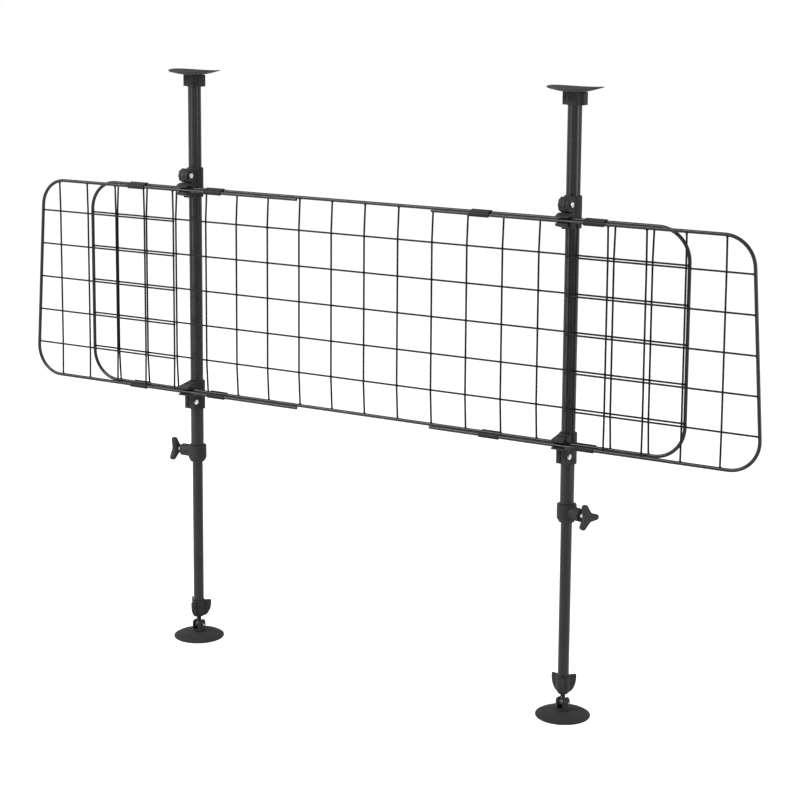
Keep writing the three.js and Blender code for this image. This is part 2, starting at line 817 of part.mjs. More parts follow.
// A hexagon bolt along X: its head is on the spine's right face
function bolt(diameter, left, y, z) {
  const seat = spine_right + seat_gap;
  const shank = crosswise(diameter / 2, left, seat + bolt_head_height / 2, y, z, 12);
  const head = crosswise(bolt_head_width / 2, seat, seat + bolt_head_height, y, z, 6);
  return joined([shank, head]);
}

function upper_bolt() {
  return bolt(bolt_diameter, -knob_left - bolt_end, -knob_offset, centre_top + knob_rise);
}

// Lower bracket body: its far jaw passes over the bottom rails and its block holds the bolt below
function lower_bracket_body() {
  const rail_z = centre_bottom;
  const low = rail_z - lower_bracket_drop;
  const high = low + sleeve_length;
  const over = rail_z + rail_radius + jaw_play;
  const split = -side_cheek_right + split_gap;
  const sleeve = upright(sleeve_radius, low, high, 28);
  const spine = block([split, spine_front, rail_z - lower_block_drop], [spine_right, 0, high]);
  const neck = block([-spine_left, spine_front, rail_z - rail_radius], [split + overrun, 0, high]);
  const jaw = drawn_along_x([
    [0, over],
    [0, high],
    [-sleeve_bore, high],
    [-jaw_reach, over + far_jaw_tip],
    [-jaw_reach, over],
  ], -jaw_left, jaw_right);
  const way_radius = lower_bolt_diameter / 2 + seat_gap;
  const far = spine_right + overrun;
  const bolt_z = rail_z - lower_bolt_drop;
  const bolt_way = crosswise(way_radius, -side_cheek_left, far, -lower_bolt_offset, bolt_z, 12);
  return cut(joined([sleeve, spine, neck, jaw]), [post_way(low, high), bolt_way]);
}

// Lower bracket plate: lies under the bottom rails
function jaw_plate() {
  const top = centre_bottom - wing_drop - rail_radius - jaw_play;
  const back = spine_front - seat_gap;
  return drawn_along_x([
    [back, top],
    [-jaw_reach, top],
    [-jaw_reach, top - plate_height * plate_tip_share],
    [-jaw_reach + wedge_flat, top - plate_height],
    [back, top - plate_height],
  ], -jaw_left, jaw_right);
}

// Side cheek: the block that the lower bolt draws against the body
function side_cheek() {
  const top = centre_bottom - rail_radius - wing_drop - plate_height;
  const bottom = centre_bottom - lower_block_drop;
  const back = sleeve_wall - sleeve_bore;
  const cheek = block([-side_cheek_left, spine_front, bottom], [-side_cheek_right, back, top]);
  const sleeve_room = upright(sleeve_radius + seat_gap, bottom - overrun, top + overrun, 28);
  const way_radius = lower_bolt_diameter / 2 + seat_gap;
  const near = -side_cheek_left - overrun;
  const bolt_z = centre_bottom - lower_bolt_drop;
  const bolt_way = crosswise(way_radius, near, 0, -lower_bolt_offset, bolt_z, 12);
  return cut(cheek, [sleeve_room, bolt_way]);
}

function lower_bolt() {
  const z = centre_bottom - lower_bolt_drop;
  return bolt(lower_bolt_diameter, -side_cheek_left - bolt_end, -lower_bolt_offset, z);
}

// Assembly
const guard = new THREE.Group();

function place(parent, name, body, material) {
  const mesh = new THREE.Mesh(surface(body), material.clone());
  mesh.name = name;
  parent.add(mesh);
}

place(guard, 'centre_frame', centre_frame(), paint);
place(guard, 'centre_mesh', centre_mesh(), paint);

const wings = [
  ['left', -1, left_wing_end_gap, left_wing_post_gap],
  ['right', 1, right_wing_end_gap, right_wing_post_gap],
];
for (const [hand, side, end_gap, post_gap] of wings) {
  place(guard, `${hand}_wing_frame`, wing_frame(side), paint);
  place(guard, `${hand}_wing_mesh`, wing_mesh(side, end_gap, post_gap), paint);
  for (const level of ['top', 'bottom']) {
    const outer = outer_clip_reach(outer_clip_shares[`${hand}_${level}`]);
    const inner = inner_clip_reach(inner_clip_shares[`${hand}_${level}`]);
    const is_top = level === 'top';
    place(guard, `${hand}_outer_${level}_clip`, rail_clip(outer, side, is_top), plastic);
    place(guard, `${hand}_inner_${level}_clip`, rail_clip(inner, side, is_top), plastic);
  }
}

const posts = [
  ['left', -1, left_boss_turn, left_clamp_knob_turn, left_nut_turn],
  ['right', 1, right_boss_turn, right_clamp_knob_turn, right_nut_turn],
];
for (const [hand, side, boss_turn, knob_turn, nut_turn] of posts) {
  const post = new THREE.Group();
  post.position.x = side * post_reach;
  guard.add(post);
  const pieces = [
    ['top_pad', top_pad(), rubber],
    ['top_hub', top_hub(), plastic],
    ['upper_tube', upper_tube(side).rotate([0, 0, boss_turn]), paint],
    ['tube_bush', tube_bush(), plastic],
    ['lower_tube', lower_tube(), paint],
    ['height_collar', height_collar(side).rotate([0, 0, boss_turn]), plastic],
    ['clamp_shoe', clamp_shoe(side).rotate([0, 0, boss_turn]), dark_steel],
    ['clamp_screw', clamp_screw(side).rotate([0, 0, boss_turn]), steel],
    ['clamp_knob', clamp_knob(side, knob_turn).rotate([0, 0, boss_turn]), plastic],
    ['foot_insert', foot_insert(), plastic],
    ['foot_wing_nut', foot_wing_nut(nut_turn), plastic],
    ['foot_stud', foot_stud(), dark_steel],
    ['foot_pin', foot_pin(), steel],
    ['foot_hub', foot_hub(), plastic],
    ['foot_pad', foot_pad(), rubber],
    ['upper_bracket_body', upper_bracket_body(), plastic],
    ['upper_bracket_jaw', wedge_jaw(), plastic],
    ['upper_bracket_knob', bracket_knob(), plastic],
    ['upper_bracket_bolt', upper_bolt(), steel],
    ['lower_bracket_body', lower_bracket_body(), plastic],
    ['lower_bracket_jaw', jaw_plate(), plastic],
    ['lower_bracket_cheek', side_cheek(), plastic],
    ['lower_bracket_bolt', lower_bolt(), steel],
  ];
  for (const [name, body, material] of pieces) {
    place(post, `${hand}_${name}`, body, material);
  }
}

export default guard;
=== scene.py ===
"""Finished pieces of a car dog guard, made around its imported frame. All lengths are in metres."""

import math

import bmesh
import bpy
from bpy.props import FloatProperty, FloatVectorProperty, PointerProperty
from mathutils import Matrix, Vector


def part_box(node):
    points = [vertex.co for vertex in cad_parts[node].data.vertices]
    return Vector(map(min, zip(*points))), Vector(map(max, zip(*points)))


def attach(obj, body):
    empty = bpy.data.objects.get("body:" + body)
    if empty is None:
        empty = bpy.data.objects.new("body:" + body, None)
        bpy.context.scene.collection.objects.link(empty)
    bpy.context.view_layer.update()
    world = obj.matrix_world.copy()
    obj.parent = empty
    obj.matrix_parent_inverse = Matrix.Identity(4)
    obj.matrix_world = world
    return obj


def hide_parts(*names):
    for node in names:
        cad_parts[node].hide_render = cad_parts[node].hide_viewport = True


bl_info = {
    "name": "Car dog guard",
    "version": (1, 0, 0),
    "blender": (4, 5, 0),
    "location": "View3D > Sidebar > Dog guard",
    "description": "Makes the finished pieces of a car dog guard around its packed frame",
    "category": "Object",
}

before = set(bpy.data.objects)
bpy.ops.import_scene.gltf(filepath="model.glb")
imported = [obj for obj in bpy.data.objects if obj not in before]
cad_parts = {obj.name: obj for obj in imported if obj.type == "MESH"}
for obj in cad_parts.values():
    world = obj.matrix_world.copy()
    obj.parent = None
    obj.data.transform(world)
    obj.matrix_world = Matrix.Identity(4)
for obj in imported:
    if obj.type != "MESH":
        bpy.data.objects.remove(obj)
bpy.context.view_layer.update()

HANDS = {"left": -1, "right": 1}
LEVELS = ("top", "bottom")
QUARTER = math.pi / 2

# Sizes that several pieces share

OVERRUN = 0.002
FIT = 0.0003
UPPER_TUBE_BORE = 0.01095
LOWER_TUBE_BORE = 0.0089
STUD_RADIUS = 0.004
STUD_BORE = STUD_RADIUS + FIT
PIN_RADIUS = 0.002
PIN_BORE = PIN_RADIUS + FIT
PAD_SIDES = 96
MERGE_DISTANCE = 1e-6
SHARP_ANGLE = math.radians(38)


# Sizes and colours that a user would change

def colour(name, description, *default):
    return FloatVectorProperty(
        name=name, description=description, default=default, min=0, max=1, subtype="COLOR")


def length(name, description, default, low=0.0, precision=4):
    return FloatProperty(
        name=name, description=description, default=default, min=low, unit="LENGTH", precision=precision)


def angle(name, description, default):
    return FloatProperty(
        name=name, description=description, default=default, subtype="ANGLE", unit="ROTATION")


def power(name, description, default):
    return FloatProperty(
        name=name, description=description, default=default, min=0, subtype="POWER", unit="POWER")


def brightness(name, description, default):
    return FloatProperty(name=name, description=description, default=default, min=0)


class DogGuardColours(bpy.types.PropertyGroup):
    wire_paint: colour("Rail paint", "Powder coat of the thick rails", 0.003, 0.003, 0.0032)
    mesh_paint: colour("Mesh paint", "Powder coat of the thin mesh wires", 0.0025, 0.0025, 0.0026)
    tube_paint: colour("Tube paint", "Powder coat of the telescopic tubes", 0.014, 0.014, 0.0145)
    clip_plastic: colour("Clip plastic", "Plastic of the rail clips", 0.020, 0.020, 0.021)
    moulded_plastic: colour(
        "Moulded plastic", "Plastic of the hubs, collars, knobs and brackets", 0.033, 0.033, 0.034)
    pad_rubber: colour("Pad rubber", "Rubber of the foot pads and the top pads", 0.034, 0.034, 0.035)
    bright_steel: colour(
        "Bright steel", "Zinc plating of the bolts, pins and clamp screws", 0.62, 0.63, 0.65)
    black_steel: colour(
        "Black steel", "Black oxide of the foot studs and clamp shoes", 0.035, 0.035, 0.036)


class DogGuardPanels(bpy.types.PropertyGroup):
    rail_diameter: length("Rail diameter", "Thickness of the rails' wire with its coat", 0.0055, 0.001)
    upright_diameter: length("Upright diameter", "Thickness of the upright wires", 0.0030, 0.001)
    level_diameter: length("Level wire diameter", "Thickness of the level wires", 0.0029, 0.001)
    weld_size: length("Weld size", "Radius of the weld where two wires cross", 0.0017, 0.0005)
    centre_corner: length(
        "Centre frame's corner", "Bend radius of the centre frame's corners", 0.048, 0.01)
    wing_corner: length("Wing frame's corner", "Bend radius of the wing frames' corners", 0.046, 0.01)
    wing_reach: length(
        "Wing's reach", "From the middle to the bottom corner of a wing's outer end", 0.6532, 0.5)
    wing_slant: length("Wing's slant", "How far the top of a wing's end stands further in", 0.021)
    centre_reach: length(
        "Centre's reach", "From the middle to the centre frame's end wire", 0.535, 0.3)
    upright_pitch: length(
        "Upright pitch", "From one upright wire of the centre mesh to the next", 0.06, 0.02)
    first_level: length(
        "First level wire", "From the bottom rail to the lowest level wire", 0.054, 0.02)
    level_pitch: length("Level pitch", "From one level wire to the next", 0.0572, 0.02)
    running_gap: length("Running gap", "Gap between a rail and the clip round it", FIT, 0.0001)
    clip_wall: length("Clip wall", "Thickness of the rail clips' band", 0.0012, 0.0005)


class DogGuardPosts(bpy.types.PropertyGroup):
    tube_wall: length("Tube wall", "Wall of the steel tubes", 0.0012, 0.0005)
    running_gap: length("Running gap", "Gap between pieces that sit in each other", FIT, 0.0001)
    edge_round: length("Moulded edge", "Rounding of the moulded pieces' edges", 0.0008, 0.0002)
    thread_pitch: length(
        "Thread pitch", "Pitch of the clamp screw's and the foot stud's threads", 0.00125, 0.0005, 5)
    thread_depth: length("Thread depth", "Depth of the threads", 0.00055, 0.0001, 5)
    rim_sag: length(
        "Top pad's sag", "How far the top pad's rim is lower in front and behind", 0.0030)
    right_boss_turn: angle(
        "Right boss's turn", "Turn of the right collar and clamp round the post", math.radians(-18))
    left_nut_turn: angle(
        "Left nut's turn", "Where the left foot nut's first wing points", math.radians(34))
    right_nut_turn: angle(
        "Right nut's turn", "Where the right foot nut's first wing points", math.radians(48))


class DogGuardStage(bpy.types.PropertyGroup):
    camera_place: FloatVectorProperty(
        name="Camera", description="Where the camera stands",
        default=(1.5507, -2.5910, 1.1441), subtype="TRANSLATION", unit="LENGTH")
    yaw: angle("Yaw", "How far the camera looks to the left", 0.5255)
    pitch: angle("Pitch", "How far the camera looks down", math.radians(8.74))
    roll: angle("Roll", "How far the camera is turned about its view", math.radians(0.415))
    lens: FloatProperty(
        name="Lens", description="Focal length of the camera in millimetres",
        default=88.17, min=20, subtype="DISTANCE_CAMERA", unit="CAMERA")
    rise: FloatProperty(
        name="Lens rise", description="Vertical shift of the camera's lens", default=-0.18)
    front_light: power("Front light", "Power of the long level light in front", 105)
    gloss_light: power("Gloss light", "Power of the slim light that shows only in reflections", 62)
    left_light: power("Left light", "Power of the slim upright light at the left in front", 12)
    right_light: power("Right light", "Power of the upright soft light at the right", 20)
    room_light: brightness("Room light", "Strength of the even light from all round", 0.25)
    floor_lift: brightness(
        "Floor brightness", "Light that the floor adds to what the camera sees of it", 0.8)


# Outlines

def arc(centre, radius, first, last, steps):
    """Points of an arc from a first angle to a last one."""
    angles = [first + (last - first) * k / steps for k in range(steps + 1)]
    return [(centre[0] + radius * math.cos(a), centre[1] + radius * math.sin(a)) for a in angles]


def softened(points, steps=4):
    """An outline of (a, b) or (a, b, radius) points whose corners are rounded by their radius."""
    straight = math.pi - 0.02
    longest_share = 0.49
    outline = []
    count = len(points)
    for i, point in enumerate(points):
        here = Vector(point[:2])
        back = Vector(points[i - 1][:2]) - here
        ahead = Vector(points[(i + 1) % count][:2]) - here
        corner = back.angle(ahead)
        if len(point) < 3 or point[2] <= 0 or corner > straight:
            outline.append(here)
            continue
        half = math.tan(corner / 2)
        reach = min(point[2] / half, longest_share * back.length, longest_share * ahead.length)
        radius = reach * half
        back.normalize()
        ahead.normalize()
        centre = here + (back + ahead).normalized() * (radius / math.sin(corner / 2))
        start = here + back * reach - centre
        end = here + ahead * reach - centre
        first = math.atan2(start.y, start.x)
        sweep = (math.atan2(end.y, end.x) - first + math.pi) % math.tau - math.pi
        for k in range(steps + 1):
            turn = first + sweep * k / steps
            outline.append(centre + radius * Vector((math.cos(turn), math.sin(turn))))
    return outline


def shrunk(outline, inset):
    """The outline moved inwards by an inset."""
    least_share = 0.3
    points = [Vector(point[:2]) for point in outline]
    count = len(points)
    area = sum(points[i - 1].cross(points[i]) for i in range(count))
    turn = 1 if area > 0 else -1
    moved_in = []
    for i, here in enumerate(points):
        before = (here - points[i - 1]).normalized()
        after = (points[(i + 1) % count] - here).normalized()
        first = Vector((-before.y, before.x)) * turn
        second = Vector((-after.y, after.x)) * turn
        share = max(least_share, 1 + first.dot(second))
        moved_in.append(here + (first + second) * (inset / share))
    return moved_in


def smooth_curve(points, steps=6):
    """A smooth open curve through (a, b) points."""
    points = [Vector(point) for point in points]
    ends = [2 * points[0] - points[1]] + points + [2 * points[-1] - points[-2]]
    curve = []
    for a, b, c, d in zip(ends, ends[1:], ends[2:], ends[3:]):
        for k in range(steps):
            t = k / steps
            curve.append(0.5 * (2 * b + (c - a) * t + (2 * a - 5 * b + 4 * c - d) * t * t
                                + (3 * b - a - 3 * c + d) * t * t * t))
    curve.append(points[-1])
    return curve


def eased(low, high, radius, steps=4):
    """Places and insets of a drawn solid whose two end faces have rounded edges."""
    turns = [QUARTER * k / steps for k in range(steps + 1)]
    edge = [(radius * (1 - math.cos(turn)), radius * (1 - math.sin(turn))) for turn in turns]
    near = [(low + rise, inset) for rise, inset in edge]
    return near + [(high - rise, inset) for rise, inset in reversed(edge)]


# Solids

def outward(body):
    """Turns all faces of a closed solid outwards."""
    bmesh.ops.recalc_face_normals(body, faces=body.faces)
    if body.calc_volume(signed=True) < 0:
        bmesh.ops.reverse_faces(body, faces=body.faces)
    return body


def bridge(body, near, far):
    """Joins two rings of points by faces; a ring of one point is a tip."""
    count = max(len(near), len(far))
    for i in range(count):
        j = (i + 1) % count
        corners = (near[i % len(near)], near[j % len(near)], far[j % len(far)], far[i % len(far)])
        body.faces.new(list(dict.fromkeys(corners)))


def skin(body, rings):
    """Joins rings of points in a row and closes both ends."""
    for near, far in zip(rings, rings[1:]):
        bridge(body, near, far)
    body.faces.new(rings[0])
    body.faces.new(rings[-1])


def turned(profile, sides=72):
    """A solid turned round the Z axis from a closed outline of (radius, height) points."""
    body = bmesh.new()
    rings = []
    for radius, height in profile:
        around = sides if radius > MERGE_DISTANCE else 1
        angles = [math.tau * i / around for i in range(around)]
        ring = [(radius * math.cos(a), radius * math.sin(a), height) for a in angles]
        rings.append([body.verts.new(point) for point in ring])
    for near, far in zip(rings, rings[1:] + rings[:1]):
        if len(near) > 1 or len(far) > 1:
            bridge(body, near, far)
    return outward(body)


def lathe(points, steps=4, sides=72):
    """A solid turned from the outer (radius, height, edge) points of its outline."""
    return turned(softened([(0, points[0][1]), *points, (0, points[-1][1])], steps), sides)


def drawn(outline, levels, along="Z"):
    """A solid drawn from an outline along X or Z through (place, inset) levels."""
    body = bmesh.new()
    rings = []
    for place, inset in levels:
        flat = shrunk(outline, inset)
        ring = [(place, a, b) if along == "X" else (a, b, place) for a, b in flat]
        rings.append([body.verts.new(point) for point in ring])
    skin(body, rings)
    return outward(body)


def block(low, high, radius, steps=3):
    """A box with rounded edges."""
    upright_share = 1.35
    corner = radius * upright_share
    (left, front), (right, back) = low[:2], high[:2]
    outline = softened([
        (left, front, corner), (right, front, corner), (right, back, corner), (left, back, corner),
    ], steps)
    return drawn(outline, eased(low[2], high[2], radius, steps))


def plain_box(low, high):
    """A box with sharp edges, used as a cutter."""
    outline = [(low[0], low[1]), (high[0], low[1]), (high[0], high[1]), (low[0], high[1])]
    return drawn(outline, [(low[2], 0), (high[2], 0)])


def crosswise(radius, left, right, y, z, edge=0.0, sides=48):
    """A round bar along X."""
    bar = lathe([(radius, left, edge), (radius, right, edge)], sides=sides)
    bar.transform(Matrix.Translation((0, y, z)) @ Matrix.Rotation(QUARTER, 4, "Y"))
    return bar


def upright(radius, bottom, top, sides=72):
    """A plain round bar along Z, used as a cutter."""
    return turned([(0, bottom), (radius, bottom), (radius, top), (0, top)], sides)


def threaded(radius, depth, pitch, bottom, top, sides=28):
    """A threaded bar along Z with a chamfered end at its top and bottom."""
    fewest_rows = 8
    rows_per_turn = 5
    chamfer_share = 0.8
    body = bmesh.new()
    rows = max(fewest_rows, round((top - bottom) / pitch * rows_per_turn))
    rings = []
    for row in range(rows + 1):
        height = bottom + (top - bottom) * row / rows
        near_end = min(height - bottom, top - height)
        ring = []
        for i in range(sides):
            turn = (height / pitch - i / sides) % 1
            ridge = 1 - abs(2 * turn - 1)
            reach = min(radius - depth * (1 - ridge), radius - depth + near_end * chamfer_share)
            around = math.tau * i / sides
            ring.append(body.verts.new((reach * math.cos(around), reach * math.sin(around), height)))
        rings.append(ring)
    skin(body, rings)
    return outward(body)


def as_object(body, name="part"):
    mesh = bpy.data.meshes.new(name)
    body.to_mesh(mesh)
    body.free()
    made = bpy.data.objects.new(name, mesh)
    bpy.context.scene.collection.objects.link(made)
    return made


def combined(body, others, operation):
    """The body after each of the other solids is joined to it or cut from it."""
    base = as_object(body)
    tools = [as_object(other) for other in others]
    for tool in tools:
        step = base.modifiers.new(operation, "BOOLEAN")
        step.operation = operation
        step.solver = "EXACT"
        step.object = tool
    bpy.context.view_layer.update()
    done = base.evaluated_get(bpy.context.evaluated_depsgraph_get())
    result = bmesh.new()
    result.from_mesh(done.to_mesh())
    done.to_mesh_clear()
    for used in [base, *tools]:
        mesh = used.data
        bpy.data.objects.remove(used)
        bpy.data.meshes.remove(mesh)
    if not result.faces:
        raise RuntimeError("a solid was lost while it was joined or cut")
    bmesh.ops.remove_doubles(result, verts=result.verts, dist=MERGE_DISTANCE)
    open_edges = [edge for edge in result.edges if len(edge.link_faces) == 1]
    bmesh.ops.holes_fill(result, edges=open_edges, sides=3)
    return result


def joined(body, others):
    return combined(body, others, "UNION")


def cut(body, tools):
    return combined(body, tools, "DIFFERENCE")


def add_wire(body, points, radii, across, closed=False, sides=16):
    """Adds a round wire along points; across is a direction square to the whole path."""
    points = [Vector(point) for point in points]
    across = Vector(across)
    count = len(points)
    rings = []
    for i, here in enumerate(points):
        before = points[i - 1] if closed or i else here
        after = points[(i + 1) % count] if closed or i < count - 1 else here
        second = (after - before).normalized().cross(across).normalized()
        radius = radii[i] if isinstance(radii, (list, tuple)) else radii
        ring = []
        for k in range(sides):
            turn = math.tau * k / sides
            ring.append(here + radius * (math.cos(turn) * across + math.sin(turn) * second))
        rings.append([body.verts.new(point) for point in ring])
    if closed:
        for near, far in zip(rings, rings[1:] + rings[:1]):
            bridge(body, near, far)
    else:
        skin(body, rings)


def round_end(start, direction, radius, steps=3):
    """Points and radii that close a wire's end with a slight dome, from its tip inwards."""
    dome_share = 0.35
    tip_share = 0.25
    turns = [QUARTER * k / steps for k in range(steps + 1)]
    depths = [radius * dome_share * (1 - math.sin(turn)) for turn in turns]
    radii = [max(radius * math.sin(turn), radius * tip_share) for turn in turns]
    return [Vector(start) + Vector(direction) * depth for depth in depths], radii


def bend(x, z, y, radius, first, last, steps=14):
    """Points of a bend in a panel's plane."""
    return [(a, y, b) for a, b in arc((x, z), radius, first, last, steps)]


# Finishes

NOISE_LOW = 0.3
NOISE_HIGH = 0.7


def add_node(tree, kind, inputs):
    """A new node whose inputs are set to values or linked to outputs of other nodes."""
    node = tree.nodes.new(f"ShaderNode{kind}")
    for socket, value in inputs.items():
        if isinstance(value, bpy.types.NodeSocket):
            tree.links.new(value, node.inputs[socket])
        else:
            node.inputs[socket].default_value = value
    return node


def noise(tree, scale, detail, distortion=0.0, stretch=(1, 1, 1)):
    """A noise in the object's own space; scale is in repeats per metre."""
    place = add_node(tree, "TexCoord", {}).outputs["Object"]
    mapped = add_node(tree, "Mapping", {"Vector": place, "Scale": stretch}).outputs["Vector"]
    inputs = {"Vector": mapped, "Scale": scale, "Detail": detail, "Distortion": distortion}
    return add_node(tree, "TexNoise", inputs).outputs["Fac"]


def finish(name, tint, values):
    """A new material with its shader's even values set, its node tree and the shader."""
    made = bpy.data.materials.new(name)
    made.use_nodes = True
    made.diffuse_color = (*tint, 1)
    shader = made.node_tree.nodes["Principled BSDF"]
    for socket, value in values.items():
        shader.inputs[socket].default_value = value
    return made, made.node_tree, shader


def mottle(tree, shader, source, tint, spread):
    """Varies the colour a little between a darker and a lighter tone."""
    ramp = add_node(tree, "ValToRGB", {"Fac": source})
    dark, light = ramp.color_ramp.elements
    dark.position = NOISE_LOW
    light.position = NOISE_HIGH
    dark.color = (*[c * (1 - spread) for c in tint], 1)
    light.color = (*[min(1, c * (1 + spread)) for c in tint], 1)
    tree.links.new(ramp.outputs["Color"], shader.inputs["Base Color"])


def uneven_gloss(tree, shader, source, low, high):
    """Varies the roughness between two values."""
    inputs = {"Value": source, "From Min": NOISE_LOW, "From Max": NOISE_HIGH, "To Min": low, "To Max": high}
    span = add_node(tree, "MapRange", inputs)
    tree.links.new(span.outputs["Result"], shader.inputs["Roughness"])


def relief(tree, shader, source, strength, depth):
    """Fine relief of the surface; depth is in metres."""
    bump = add_node(tree, "Bump", {"Height": source, "Strength": strength, "Distance": depth})
    tree.links.new(bump.outputs["Normal"], shader.inputs["Normal"])


def powder_coat(name, tint, roughness, spread, specular, peel):
    """Powder coat: even black with the slight orange peel of baked paint."""
    made, tree, shader = finish(name, tint, {"Roughness": roughness, "Specular IOR Level": specular})
    mottle(tree, shader, noise(tree, scale=40, detail=4), tint, spread)
    smoother, rougher = roughness - 0.03, roughness + 0.04
    uneven_gloss(tree, shader, noise(tree, scale=160, detail=3), smoother, rougher)
    relief(tree, shader, noise(tree, scale=700, detail=2), strength=0.15, depth=peel)
    return made


def moulding(name, tint, roughness, spread):
    """Injection-moulded plastic with a fine eroded grain."""
    made, tree, shader = finish(name, tint, {"Roughness": roughness, "Specular IOR Level": 0.1})
    mottle(tree, shader, noise(tree, scale=90, detail=5, distortion=0.4), tint, spread)
    smoother, rougher = roughness - 0.06, roughness + 0.1
    uneven_gloss(tree, shader, noise(tree, scale=220, detail=4), smoother, rougher)
    relief(tree, shader, noise(tree, scale=2600, detail=3), strength=0.45, depth=0.00008)
    return made


def rubber(name, tint, roughness, spread):
    """Matt rubber with a dusty bloom."""
    made, tree, shader = finish(name, tint, {
        "Roughness": roughness, "Specular IOR Level": 0.06, "Sheen Weight": 0.05, "Sheen Roughness": 0.5,
    })
    mottle(tree, shader, noise(tree, scale=55, detail=6, distortion=0.8), tint, spread)
    smoother, rougher = roughness - 0.06, roughness + 0.06
    uneven_gloss(tree, shader, noise(tree, scale=130, detail=5), smoother, rougher)
    relief(tree, shader, noise(tree, scale=1500, detail=4), strength=0.35, depth=0.0001)
    return made


def plated_steel(name, tint, roughness, spread, stretch):
    """Plated steel with fine marks of turning."""
    made, tree, shader = finish(name, tint, {"Roughness": roughness, "Metallic": 1.0})
    mottle(tree, shader, noise(tree, scale=120, detail=4), tint, spread)
    smoother, rougher = roughness - 0.1, roughness + 0.12
    uneven_gloss(tree, shader, noise(tree, scale=500, detail=3, stretch=stretch), smoother, rougher)
    relief(tree, shader, noise(tree, scale=1800, detail=2, stretch=stretch), strength=0.3, depth=0.00005)
    return made


FINISHES = {
    "wire_paint": (powder_coat, "Black wire powder coat", {
        "roughness": 0.34, "spread": 0.12, "specular": 0.32, "peel": 0.000006}),
    "mesh_paint": (powder_coat, "Black mesh powder coat", {
        "roughness": 0.42, "spread": 0.12, "specular": 0.12, "peel": 0.000006}),
    "tube_paint": (powder_coat, "Satin tube powder coat", {
        "roughness": 0.3, "spread": 0.10, "specular": 0.25, "peel": 0.00003}),
    "clip_plastic": (moulding, "Clip plastic", {"roughness": 0.45, "spread": 0.10}),
    "moulded_plastic": (moulding, "Grained moulded plastic", {"roughness": 0.52, "spread": 0.14}),
    "pad_rubber": (rubber, "Dusty pad rubber", {"roughness": 0.72, "spread": 0.09}),
    "bright_steel": (plated_steel, "Zinc-plated steel", {
        "roughness": 0.3, "spread": 0.1, "stretch": (6, 1, 1)}),
    "black_steel": (plated_steel, "Black-oxide steel", {
        "roughness": 0.42, "spread": 0.1, "stretch": (1, 1, 6)}),
}


def finish_of(slot):
    """The material of a slot, made on first use."""
    build, name, values = FINISHES[slot]
    tint = tuple(getattr(bpy.context.scene.dog_guard_colours, slot))
    return bpy.data.materials.get(name) or build(name, tint, **values)


# Pieces

def make(node, body, slot, rides_on, coat=None):
    """Makes the finished piece of one CAD node, with its slot's own finish or another coat."""
    piece = as_object(outward(body), f"{node}_finished")
    piece.data.shade_smooth()
    piece.data.set_sharp_from_angle(angle=SHARP_ANGLE)
    piece.modifiers.new("Even shading", "WEIGHTED_NORMAL").keep_sharp = True
    piece.data.materials.append(finish_of(coat or slot))
    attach(piece, rides_on)
    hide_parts(node)


def middle_of(node):
    """The middle of a node's box."""
    low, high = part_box(node)
    return Vector([(low[i] + high[i]) / 2 for i in range(3)])


def make_on_post(hand, part, body, slot, rides_on, turn=0.0):
    """Makes a piece of a post from a body round the origin, turned and set on the post's axis."""
    x = middle_of(f"{hand}_foot_stud").x
    body.transform(Matrix.Translation((x, 0, 0)) @ Matrix.Rotation(turn, 4, "Z"))
    make(f"{hand}_{part}", body, slot, f"{hand}_{rides_on}")


def boss_turn(side):
    """Turn of a post's collar and clamp round the post."""
    return bpy.context.scene.dog_guard_posts.right_boss_turn if side > 0 else 0.0


def level_heights(bottom):
    """Heights of the level wires above a bottom rail."""
    sizes = bpy.context.scene.dog_guard_panels
    return [bottom + sizes.first_level + i * sizes.level_pitch for i in range(5)]


def rails_of(node):
    """Depth and heights of the rails of a frame's node."""
    low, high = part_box(node)
    facet = (high.y - low.y) / 2
    return (low.y + high.y) / 2, low.z + facet, high.z - facet


class MakeWireFrames(bpy.types.Operator):
    """Make the thick wire loops of the centre panel and the two wings"""
    bl_idname = "dog_guard.wire_frames"
    bl_label = "Wire frames"
    bl_options = {"REGISTER", "UNDO"}

    sides = 20

    def execute(self, context):
        sizes = context.scene.dog_guard_panels
        self.centre(sizes)
        for hand, side in HANDS.items():
            self.wing(sizes, hand, side)
        return {"FINISHED"}

    def centre(self, sizes):
        y, bottom, top = rails_of("centre_frame")
        r = sizes.centre_corner
        inner = sizes.centre_reach - r
        loop = [
            *bend(inner, bottom + r, y, r, -QUARTER, 0),
            *bend(inner, top - r, y, r, 0, QUARTER),
            *bend(-inner, top - r, y, r, QUARTER, 2 * QUARTER),
            *bend(-inner, bottom + r, y, r, 2 * QUARTER, 3 * QUARTER),
        ]
        body = bmesh.new()
        add_wire(body, loop, sizes.rail_diameter / 2, (0, 1, 0), closed=True, sides=self.sides)
        make("centre_frame", body, "wire_paint", "centre_panel")

    def wing(self, sizes, hand, side):
        node = f"{hand}_wing_frame"
        y, bottom, top = rails_of(node)
        low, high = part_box(node)
        tip = min(abs(low.x), abs(high.x))
        thick = sizes.rail_diameter / 2
        r = sizes.wing_corner
        lean = math.atan2(sizes.wing_slant, top - bottom)
        low_bend = sizes.wing_reach - r * math.tan((QUARTER + lean) / 2)
        high_bend = sizes.wing_reach - sizes.wing_slant - r * math.tan((QUARTER - lean) / 2)
        ends, radii = round_end((tip, y, bottom), (1, 0, 0), thick)
        middle = [
            *bend(low_bend, bottom + r, y, r, -QUARTER, lean),
            *bend(high_bend, top - r, y, r, lean, QUARTER),
        ]
        far_ends = [Vector((point.x, y, top)) for point in ends]
        points = [*ends, *[Vector(point) for point in middle], *reversed(far_ends)]
        thickness = [*radii, *[thick] * len(middle), *reversed(radii)]
        body = bmesh.new()
        placed = [(side * point.x, point.y, point.z) for point in points]
        add_wire(body, placed, thickness, (0, 1, 0), sides=self.sides)
        make(node, body, "wire_paint", f"{hand}_wing")


